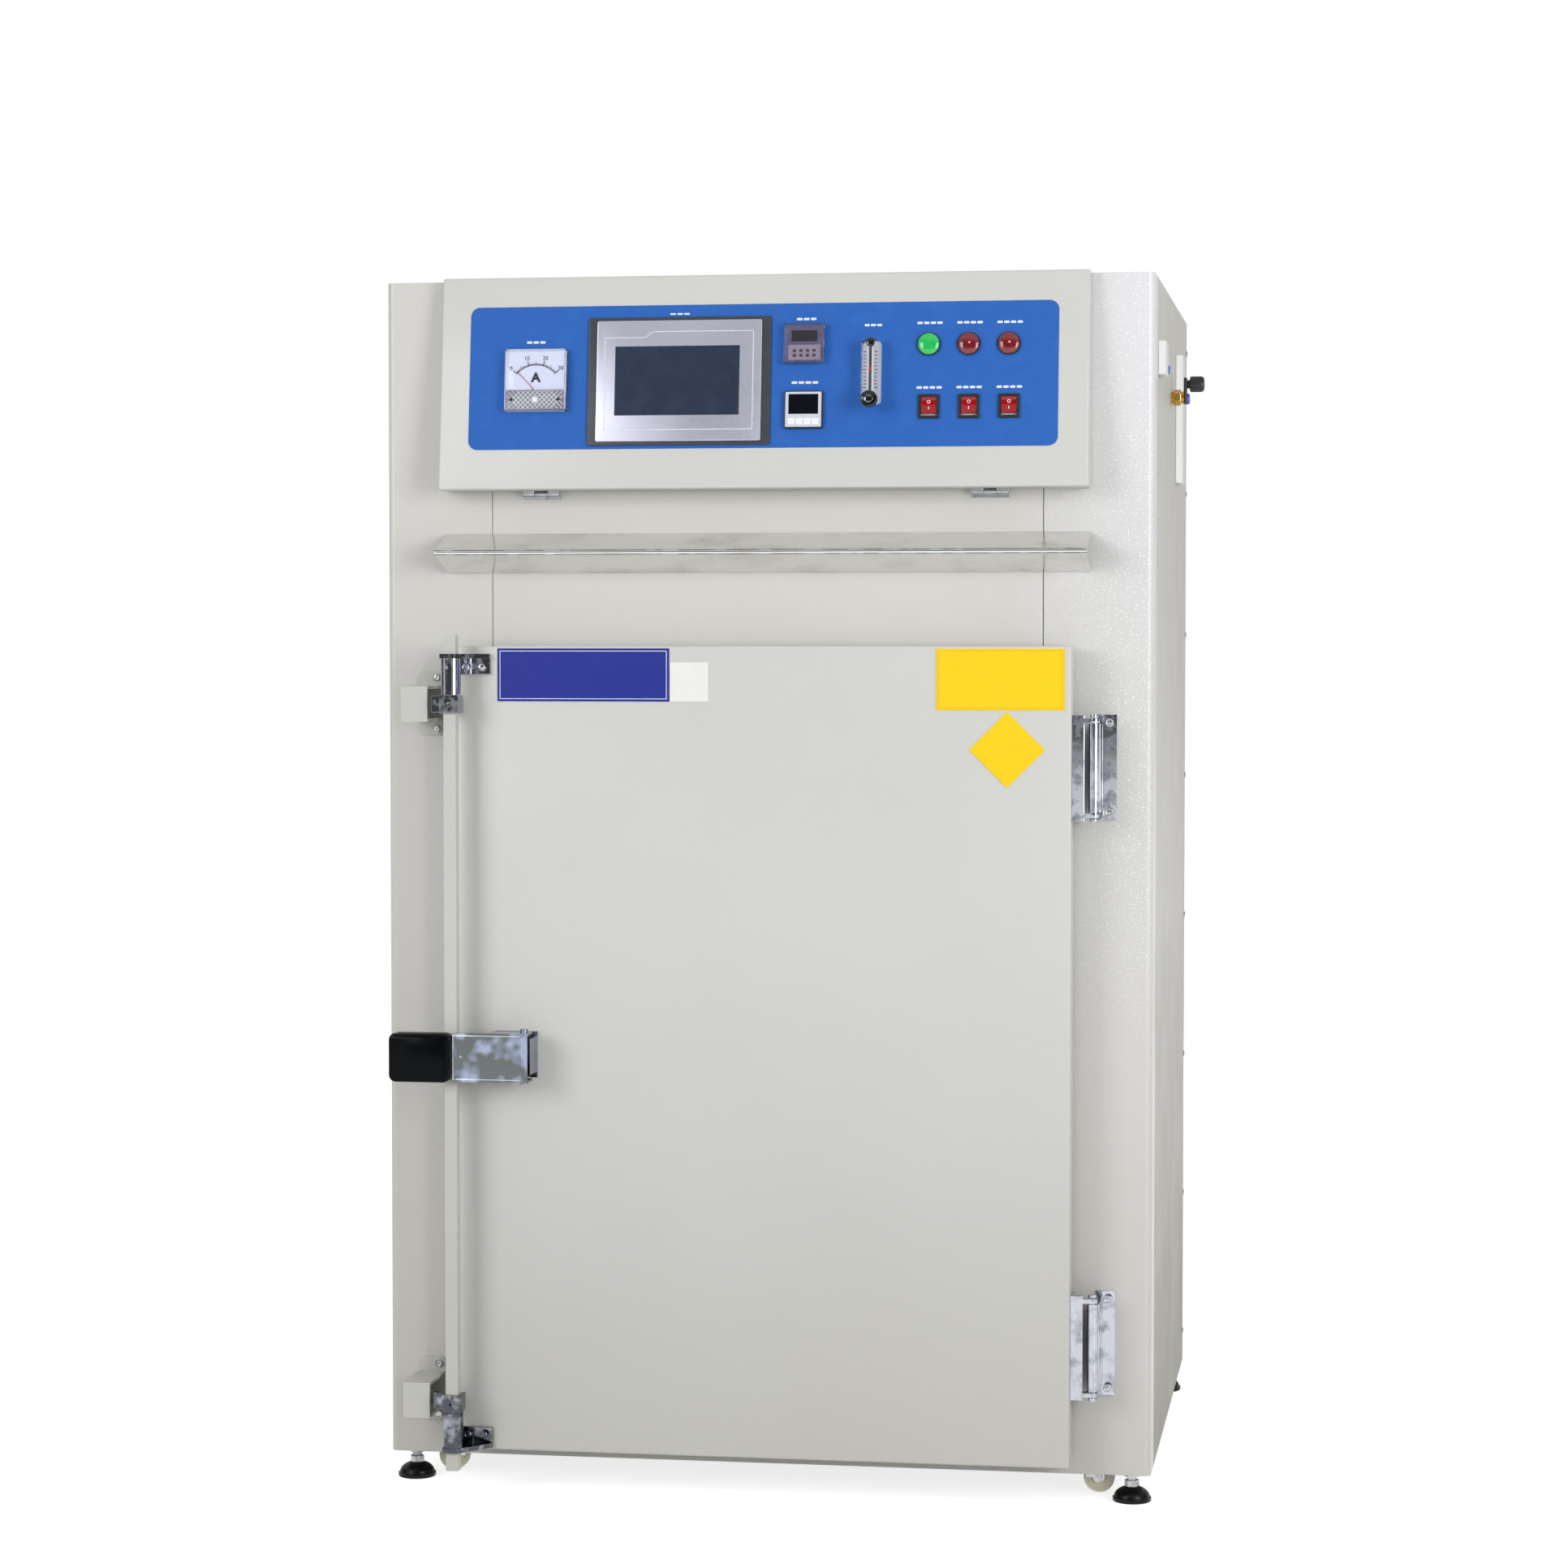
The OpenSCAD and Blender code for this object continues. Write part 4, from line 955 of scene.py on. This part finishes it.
class OVEN_OT_rockers(bpy.types.Operator):
    """Three rocker switches with O and I marks"""
    bl_idname = "oven.rockers"
    bl_label = "Rocker switches"

    def execute(self, context):
        s = 0.103
        lean = cover_place()
        dress_node("switch_frames", MAT["black_plastic"])
        ease("switch_frames", 0.0004)
        for i, x in enumerate((0.217, 0.268, 0.319)):
            # Cap: a block with its face hollowed by two slopes, tipped to the upper side
            o = plate("rocker_cap_%d" % (i + 1), 0, 0, 0.0186, 0.0204, 0.0090, 0.0010, base=-0.0050, seg=2)
            edit(o)
            for cut in range(-4, 5):
                bpy.ops.mesh.select_all(action="SELECT")
                bpy.ops.mesh.bisect(plane_co=(0, cut * 0.0022, 0), plane_no=(0, 1, 0))
            bpy.ops.mesh.select_mode(type="VERT")
            bm = bmesh.from_edit_mesh(o.data)
            for v in bm.verts:
                v.select_set(False)
            for v in bm.verts:
                if v.co.z > 0.0035:
                    k = abs(v.co.y) / 0.0102
                    v.co.z += 0.0014 * k * k - 0.0012 * (1 - k * k)
            bmesh.update_edit_mesh(o.data)
            leave()
            smooth(o, 50)
            # Marks: a ring on the upper half and a stroke on the lower half
            idle()
            bpy.ops.mesh.primitive_torus_add(major_radius=0.0019, minor_radius=0.00045, major_segments=28,
                                             minor_segments=6, location=(0, 0.0047, 0.0040))
            ring = settle(fresh("ring"))
            stroke = plate("stroke", 0, -0.0036, 0.0011, 0.0036, 0.0012, 0, base=0.0027)
            marks = weld_into("rocker_marks_%d" % (i + 1), [ring, stroke])
            tip = Matrix.Translation((x, s, -0.004)) @ Matrix.Rotation(math.radians(-8), 4, "X") @ Matrix.Translation((0, 0, 0.0040))
            put(o, lean @ tip)
            put(marks, lean @ tip)
            finish(o, MAT["red_gloss"], "rocker_%d" % (i + 1))
            finish(marks, MAT["print_white"], "rocker_%d" % (i + 1))
            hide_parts("rocker_%d" % (i + 1))
        return {"FINISHED"}


class OVEN_OT_door(bpy.types.Operator):
    """Door skin with soft edges, inner pan, gasket and bare coloured plates"""
    bl_idname = "oven.door"
    bl_label = "Door"

    def execute(self, context):
        r = context.scene.oven_panel.edge_soft
        o = block("door_skin", DOOR_LO, DOOR_HI, r * 0.8, 4)
        edit(o)
        bpy.ops.mesh.select_mode(type="FACE")
        pick_faces(lambda c, m: m.y > 0.9999)
        bpy.ops.mesh.inset(thickness=0.058)
        bpy.ops.mesh.extrude_region_move(TRANSFORM_OT_translate={"value": (0, -0.004, 0)})
        leave()
        finish(o, MAT["enamel_door"], "door")
        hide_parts("door_shell")
        dress_node("door_fill", MAT["wool"])
        dress_node("door_pan", MAT["stainless_pan"])
        dress_node("door_gasket", MAT["gasket"])
        ease("door_pan", 0.0015)
        ease("door_gasket", 0.002, 3)
        dress_node("door_plate_blue", MAT["film_navy"])
        dress_node("door_plate_white", MAT["film_white"])
        dress_node("door_plates_yellow", MAT["film_yellow"])
        # Thin printed borders on the bare plates
        def border(name, lo, hi, inset, w, mat):
            y = lo[1]
            a, b = lo[0] + inset, hi[0] - inset
            c, d = lo[2] + inset, hi[2] - inset
            parts = [block("edge", (a, y - 0.0002, c), (b, y, c + w)), block("edge", (a, y - 0.0002, d - w), (b, y, d)),
                     block("edge", (a, y - 0.0002, c + w), (a + w, y, d - w)), block("edge", (b - w, y - 0.0002, c + w), (b, y, d - w))]
            finish(weld_into(name, parts), MAT[mat], "door")
        lo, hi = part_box("door_plate_blue")
        border("blue_border", lo, hi, 0.003, 0.0008, "print_white")
        lo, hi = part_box("door_plates_yellow")
        lo2 = (lo[0], lo[1], hi[2] - 0.078)
        border("yellow_border", lo2, hi, 0.0025, 0.0007, "film_line")
        return {"FINISHED"}


def cap_screw(name, at, axis, r, h, socket=True):
    """A low domed screw head, with a round recess where socket is set."""
    steps = [(r, 0.0), (r, h * 0.55), (r * 0.86, h * 0.85), (r * 0.55, h)]
    o = turned(name, steps, 28)
    if socket:
        edit(o)
        bpy.ops.mesh.select_mode(type="FACE")
        pick_faces(lambda c, m: m.z > 0.9 and c.z > h * 0.9)
        bpy.ops.mesh.inset(thickness=r * 0.12)
        bpy.ops.mesh.extrude_region_move(TRANSFORM_OT_translate={"value": (0, 0, -h * 0.5)})
        leave()
    return put(o, facing(axis, at))


class OVEN_OT_hardware(bpy.types.Operator):
    """Hinges, brackets, cams, lever, grip, keepers and their screws"""
    bl_idname = "oven.hardware"
    bl_label = "Door hardware"

    def execute(self, context):
        for n, m, w in (("frame_hinges", "hinge", 0.0008), ("door_hinges", "hinge", 0.0008), ("bar_brackets", "chrome", 0.0008),
                        ("handle_base", "chrome", 0.0012), ("bar_cams", "chrome", 0.0008), ("lock_bar", "enamel_bar", 0.0014),
                        ("keepers", "enamel_bar", 0.0016), ("cover_hinge_fixed", "zinc", 0.0004),
                        ("cover_hinge_moving", "zinc", 0.0004)):
            dress_node(n, MAT[m])
            ease(n, w)
        # Lever: pressed channel with rounded folds
        dress_node("lever", MAT["lever"])
        ease("lever", 0.0012, 3)
        lo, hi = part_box("grip")
        g = plate("grip_shell", 0, 0, hi[0] - lo[0], hi[2] - lo[2], hi[1] - lo[1], 0.009, base=0, lip=0.0045, seg=8)
        put(g, facing((0, -1, 0), ((lo[0] + hi[0]) / 2, hi[1], (lo[2] + hi[2]) / 2)))
        finish(g, MAT["grip_black"], "lever")
        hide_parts("grip")
        # Screws: post leaves, bracket feet, keeper ears
        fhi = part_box("frame_hinges")[1]
        screws = []
        zs = (DOOR_LO[2] + 0.153, DOOR_HI[2] - 0.154)
        hx = fhi[0] - 0.009
        for z in zs:
            for sg in (-1, 1):
                screws.append(cap_screw("s", (hx, POST_Y - 0.0083, z + sg * 0.057), (0, -1, 0), 0.0054, 0.0026))
        finish(weld_into("leaf_screws", screws), MAT["zinc"], "cabinet")
        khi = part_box("keepers")[1]
        screws = []
        for zc in (DOOR_HI[2] - 0.016 - 0.046 - 0.001 - 0.0115, DOOR_LO[2] + 0.004 + 0.046 + 0.006 + 0.0115):
            for sg in (-1, 1):
                screws.append(cap_screw("s", (khi[0] - 0.008, POST_Y - 0.0063, zc + sg * 0.034), (0, -1, 0), 0.0050, 0.0022))
        finish(weld_into("keeper_screws", screws), MAT["zinc"], "cabinet")
        screws = []
        for z in (DOOR_HI[2] - 0.016 - 0.011, DOOR_LO[2] + 0.004 + 0.017):
            for dx in (0.013, 0.034):
                screws.append(cap_screw("s", (BAR_X + dx, DOOR_LO[1] - 0.0088, z), (0, -1, 0), 0.0047, 0.0024))
        finish(weld_into("bracket_screws", screws), MAT["chrome"], "door")
        # Thin bright strips along the lever's rolled edges: a painted highlight on a real edge
        lo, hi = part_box("lever")
        fold, wire = 0.0075, 0.0006
        x_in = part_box("grip")[1][0] + 0.001
        x_out = hi[0] - 0.010
        highlight_strips = []
        for z in (lo[2] + fold, hi[2] - fold):
            highlight_strips.append(block("roll", (x_in, lo[1] - wire, z - wire), (x_out, lo[1] + wire, z + wire), wire * 0.8, 3))
        highlight_strips.append(block("roll", (x_in, lo[1] - wire, lo[2] + fold), (x_in + 2 * wire, lo[1] + wire, hi[2] - fold),
                            wire * 0.8, 3))
        finish(weld_into("lever_highlight_strips", highlight_strips), MAT["edge_chrome"], "lever")
        # A small pin head on the lever plate
        lo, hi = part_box("lever")
        plate_y = lo[1]
        pin = cap_screw("lever_pin", (BAR_X + 0.016, plate_y + 0.0002, (lo[2] + hi[2]) / 2 + 0.001), (0, -1, 0), 0.0016, 0.0010, False)
        finish(pin, MAT["hinge"], "lever")
        return {"FINISHED"}


class OVEN_OT_cabinet(bpy.types.Operator):
    """Cabinet sheets, chamber, ledge, feet, casters and the rear screws"""
    bl_idname = "oven.cabinet"
    bl_label = "Cabinet"

    def execute(self, context):
        for n, m in (("side_panels", "enamel_side"), ("back_panel", "enamel_back"), ("top_panel", "enamel"),
                     ("bottom_panel", "enamel_under_shaded"), ("front_frame", "enamel"), ("front_filler", "enamel"),
                     ("mouth_frame", "stainless"), ("chamber_liner", "stainless"), ("insulation", "wool"),
                     ("bay_floor", "enamel_under_shaded"), ("ledge", "polished"), ("foot_pads", "rubber"), ("foot_studs", "zinc"),
                     ("caster_plates", "zinc"), ("side_covers", "enamel_hood"), ("side_fittings", "brass")):
            dress_node(n, MAT[m])
        for k in ("fl", "fr", "rl", "rr"):
            dress_node("caster_fork_" + k, MAT["zinc"])
            dress_node("caster_wheel_" + k, MAT["nylon"])
            ease("caster_fork_" + k, 0.0005)
            ease("caster_wheel_" + k, 0.0012, 3)
        ease("foot_pads", 0.0010)
        ease("foot_studs", 0.0006)
        ease("front_frame", 0.0006)
        ease("ledge", 0.0006)
        ease("side_covers", 0.0012)
        # Nose of the ledge: a rolled lip of dark metal between two thin dark lines; the dark lip and lines are a
        # painted dark reflection along the polished nose
        lo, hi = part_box("ledge")
        mid = (lo[2] + hi[2]) / 2
        lip, dark_line = 0.0017, 0.0012
        nose = block("ledge_nose", (lo[0], lo[1], mid - lip), (hi[0], lo[1] + 0.004, mid + lip), lip * 0.9, 4)
        finish(nose, MAT["edge_dark"], "cabinet")
        dark_lines = [block("dark_line", (lo[0], lo[1] + 0.0006, z - dark_line / 2), (hi[0], lo[1] + 0.005, z + dark_line / 2),
                         dark_line * 0.3, 1) for z in (mid - lip - dark_line / 2, mid + lip + dark_line / 2)]
        finish(weld_into("ledge_dark_lines", dark_lines), MAT["lever"], "cabinet")
        # Screws down the rear edges of the sides and round the back
        z0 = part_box("side_panels")[0][2]
        z1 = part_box("side_panels")[1][2]
        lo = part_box("side_panels")[0][0]
        screws = []
        for i in range(8):
            z = z0 + 0.045 + i * (z1 - z0 - 0.09) / 7
            screws.append(cap_screw("s", (SIDE_X, REAR_Y - 0.014, z), (1, 0, 0), 0.0042, 0.0019))
            screws.append(cap_screw("s", (lo, REAR_Y - 0.014, z), (-1, 0, 0), 0.0042, 0.0019))
            for x in (lo + 0.016, SIDE_X - 0.016):
                screws.append(cap_screw("s", (x, REAR_Y, z), (0, 1, 0), 0.0042, 0.0019))
        for i in range(1, 6):
            x = lo + i * (SIDE_X - lo) / 6
            for z in (z0 + 0.016, z1 - 0.016):
                screws.append(cap_screw("s", (x, REAR_Y, z), (0, 1, 0), 0.0042, 0.0019))
        finish(weld_into("sheet_screws", screws), MAT["zinc"], "cabinet")
        return {"FINISHED"}


class OVEN_OT_fittings(bpy.types.Operator):
    """Valve, its ring and knob, and the blue plug on the right side"""
    bl_idname = "oven.fittings"
    bl_label = "Side fittings"

    def execute(self, context):
        lo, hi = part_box("side_knob")
        cy, cz = (lo[1] + hi[1]) / 2, (lo[2] + hi[2]) / 2
        flo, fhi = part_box("side_fittings")
        # Brass body: hex, collar and thread
        vz = cz - KNOB_UP
        idle()
        bpy.ops.mesh.primitive_cylinder_add(vertices=6, radius=0.011, depth=0.010, location=(0, 0, 0.009))
        hexa = settle(fresh("hex"))
        edit(hexa)
        bpy.ops.mesh.select_all(action="SELECT")
        bpy.ops.mesh.bevel(offset=0.0007, segments=2, affect="EDGES")
        leave()
        stem = turned("stem", [(0.0080, 0.0), (0.0080, 0.0045), (0.0072, 0.0050), (0.0072, 0.0150), (0.0088, 0.0154), (0.0088, 0.0180)], 32)
        body = weld_into("valve_brass", [hexa, stem])
        put(body, facing((1, 0, 0), (SIDE_X, cy, vz)))
        finish(body, MAT["brass"], "cabinet")
        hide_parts("side_fittings")
        elbow = block("valve_elbow", (SIDE_X + 0.0180, cy - 0.009, vz - 0.009), (SIDE_X + 0.0221, cy + 0.009, vz + KNOB_UP + 0.009), 0.0015, 3)
        finish(elbow, MAT["black_plastic"], "cabinet")
        ring = turned("valve_ring", [(0.0070, 0.0), (0.0074, 0.001), (0.0074, 0.0060), (0.0062, 0.0078), (0.0046, 0.0080)], 36)
        put(ring, facing((1, 0, 0), (SIDE_X + 0.0180, cy, vz - 0.002)))
        finish(ring, MAT["ring_blue"], "cabinet")
        rim = turned("valve_band", [(0.0077, 0.0), (0.0077, 0.0012)], 36)
        put(rim, facing((1, 0, 0), (SIDE_X + 0.0215, cy, vz - 0.002)))
        finish(rim, MAT["print_red"], "cabinet")
        plug = turned("blue_plug", [(0.0056, 0.0), (0.0060, 0.0008), (0.0060, 0.0085), (0.0050, 0.0099), (0.0030, 0.0100), (0.0026, 0.0080)], 36)
        put(plug, facing((1, 0, 0), (SIDE_X, flo[1] + 0.006, vz + PLUG_UP)))
        finish(plug, MAT["ring_blue"], "cabinet")
        # Knob with flutes
        knob = turned("knob", [(0.0058, 0.0004), (0.0058, 0.0038), (0.0094, 0.0042), (0.0104, 0.0054), (0.0104, 0.0200), (0.0094, 0.0226), (0.0070, 0.0236)], 48)
        ribs = []
        for i in range(20):
            a = i * math.tau / 20
            rb = plate("rib", 0, 0, 0.0012, 0.0012, 0.0150, 0.0003, base=0, seg=1)
            put(rb, Matrix.Translation((0.0101 * math.cos(a), 0.0101 * math.sin(a), 0.0050)) @ Matrix.Rotation(a, 4, "Z"))
            ribs.append(rb)
        o = weld_into("valve_knob", [knob] + ribs)
        put(o, facing((1, 0, 0), (lo[0] - 0.0004, cy, cz)))
        finish(o, MAT["black_plastic"], "side_knob")
        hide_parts("side_knob")
        return {"FINISHED"}


class OVEN_OT_stage(bpy.types.Operator):
    """Camera, floor, soft lights and the even surround"""
    bl_idname = "oven.stage"
    bl_label = "Stage"

    def execute(self, context):
        look = context.scene.oven_stage
        cam_data = bpy.data.cameras.new("camera")
        cam = bpy.data.objects.new("camera", cam_data)
        context.scene.collection.objects.link(cam)
        cam.location = (MID_X + 0.780, POST_Y - 4.790, 1.110)
        cam.rotation_euler = (math.radians(90 - 2.196), 0.0, math.radians(8.957))
        cam_data.sensor_width = 36
        cam_data.sensor_fit = "HORIZONTAL"
        cam_data.lens = 4633 / 1932 * 36
        cam_data.clip_end = 100
        context.scene.camera = cam
        idle()
        bpy.ops.mesh.primitive_plane_add(size=60, location=(0, 0, 0))
        floor = fresh("floor")
        m, nt, bs = new_mat("pale_floor")
        bs.inputs["Base Color"].default_value = (*look.floor_tone, 1)
        bs.inputs["Roughness"].default_value = 0.9
        # The camera sees the floor as white paper with the object's shadow left on it
        lp = nt.nodes.new("ShaderNodeLightPath")
        seen = calc(nt, "MAXIMUM", lp.outputs["Is Camera Ray"], lp.outputs["Is Glossy Ray"])
        seen = calc(nt, "MAXIMUM", seen, lp.outputs["Is Transmission Ray"])
        bs.inputs["Emission Color"].default_value = (1, 1, 1, 1)
        nt.links.new(calc(nt, "MULTIPLY", seen, 0.78), bs.inputs["Emission Strength"])
        dress(floor, m)
        w = bpy.data.worlds.new("surround")
        context.scene.world = w
        w.use_nodes = True
        nt = w.node_tree
        nt.nodes.clear()
        out = nt.nodes.new("ShaderNodeOutputWorld")
        soft = nt.nodes.new("ShaderNodeBackground")
        soft.inputs["Color"].default_value = (1.0, 1.0, 1.0, 1)
        soft.inputs["Strength"].default_value = look.world_level
        white = nt.nodes.new("ShaderNodeBackground")
        white.inputs["Color"].default_value = (1, 1, 1, 1)
        white.inputs["Strength"].default_value = 1.0
        # What bright metal mirrors: a dim room with light overhead, tall panels at the sides and
        # the pale backdrop behind the oven
        room = nt.nodes.new("ShaderNodeBackground")
        tc = nt.nodes.new("ShaderNodeTexCoord")
        way = nt.nodes.new("ShaderNodeSeparateXYZ")
        nt.links.new(tc.outputs["Generated"], way.inputs[0])
        glow = ramp(nt, way.outputs["Z"], 0.36, 0.56)
        turn = calc(nt, "ARCTAN2", way.outputs["X"], calc(nt, "MULTIPLY", way.outputs["Y"], -1.0))
        for start, end in ((-82, -52), (22, 32), (46, 80), (112, 181), (-181, -112)):
            a, b = math.radians(start), math.radians(end)
            fade = math.radians(4)
            band = calc(nt, "MULTIPLY", ramp(nt, turn, a, a + fade), ramp(nt, turn, b, b - fade))
            glow = calc(nt, "MAXIMUM", glow, band)
        nt.links.new(ramp(nt, glow, 0.0, 1.0, 0.09, 0.95), room.inputs["Strength"])
        lp = nt.nodes.new("ShaderNodeLightPath")
        mirror = nt.nodes.new("ShaderNodeMixShader")
        nt.links.new(lp.outputs["Is Glossy Ray"], mirror.inputs[0])
        nt.links.new(soft.outputs[0], mirror.inputs[1])
        nt.links.new(room.outputs[0], mirror.inputs[2])
        mx = nt.nodes.new("ShaderNodeMixShader")
        nt.links.new(calc(nt, "MAXIMUM", lp.outputs["Is Camera Ray"], lp.outputs["Is Transmission Ray"]), mx.inputs[0])
        nt.links.new(mirror.outputs[0], mx.inputs[1])
        nt.links.new(white.outputs[0], mx.inputs[2])
        nt.links.new(mx.outputs[0], out.inputs[0])

        def lamp(name, loc, target, size, power):
            d = bpy.data.lights.new(name, "AREA")
            d.shape = "RECTANGLE"
            d.size, d.size_y = size
            d.energy = power
            o = bpy.data.objects.new(name, d)
            o.location = loc
            o.rotation_euler = (Vector(target) - Vector(loc)).to_track_quat("-Z", "Y").to_euler()
            context.scene.collection.objects.link(o)
        lamp("key", (-2.8, -4.0, 2.1), (0, -0.2, 1.0), (1.9, 2.0), look.key_power)
        lamp("rear", (-1.2, 5.0, 2.2), (0, 0.4, 0.9), (2.4, 2.2), look.rear_power)
        lamp("right", (3.2, -3.4, 1.6), (0.4, 0, 0.9), (1.6, 2.2), look.fill_power)
        return {"FINISHED"}


class OVEN_PT_panel(bpy.types.Panel):
    """Lists the oven's pieces"""
    bl_idname = "OVEN_PT_panel"
    bl_label = "Drying oven"
    bl_space_type = "VIEW_3D"
    bl_region_type = "UI"
    bl_category = "Drying Oven"

    def draw(self, context):
        col = self.layout.column()
        for op in STEPS:
            col.operator(op.bl_idname)


STEPS = (OVEN_OT_stage, OVEN_OT_cabinet, OVEN_OT_door, OVEN_OT_hardware, OVEN_OT_cover, OVEN_OT_ammeter,
         OVEN_OT_screen, OVEN_OT_controllers, OVEN_OT_flow, OVEN_OT_lamps, OVEN_OT_rockers, OVEN_OT_fittings)
CLASSES = (OvenPanelSizes, OvenStageLook) + STEPS + (OVEN_PT_panel,)


def register():
    for c in CLASSES:
        bpy.utils.register_class(c)
    bpy.types.Scene.oven_panel = bpy.props.PointerProperty(type=OvenPanelSizes)
    bpy.types.Scene.oven_stage = bpy.props.PointerProperty(type=OvenStageLook)


def unregister():
    del bpy.types.Scene.oven_stage
    del bpy.types.Scene.oven_panel
    for c in reversed(CLASSES):
        bpy.utils.unregister_class(c)


def main():
    register()
    bpy.context.scene.view_settings.view_transform = "Standard"
    MAT.update(make_materials())
    bpy.ops.oven.stage()
    bpy.ops.oven.cabinet()
    bpy.ops.oven.door()
    bpy.ops.oven.hardware()
    bpy.ops.oven.cover()
    bpy.ops.oven.ammeter()
    bpy.ops.oven.screen()
    bpy.ops.oven.controllers()
    bpy.ops.oven.flow()
    bpy.ops.oven.lamps()
    bpy.ops.oven.rockers()
    bpy.ops.oven.fittings()
    idle()


if __name__ == "__main__":
    main()
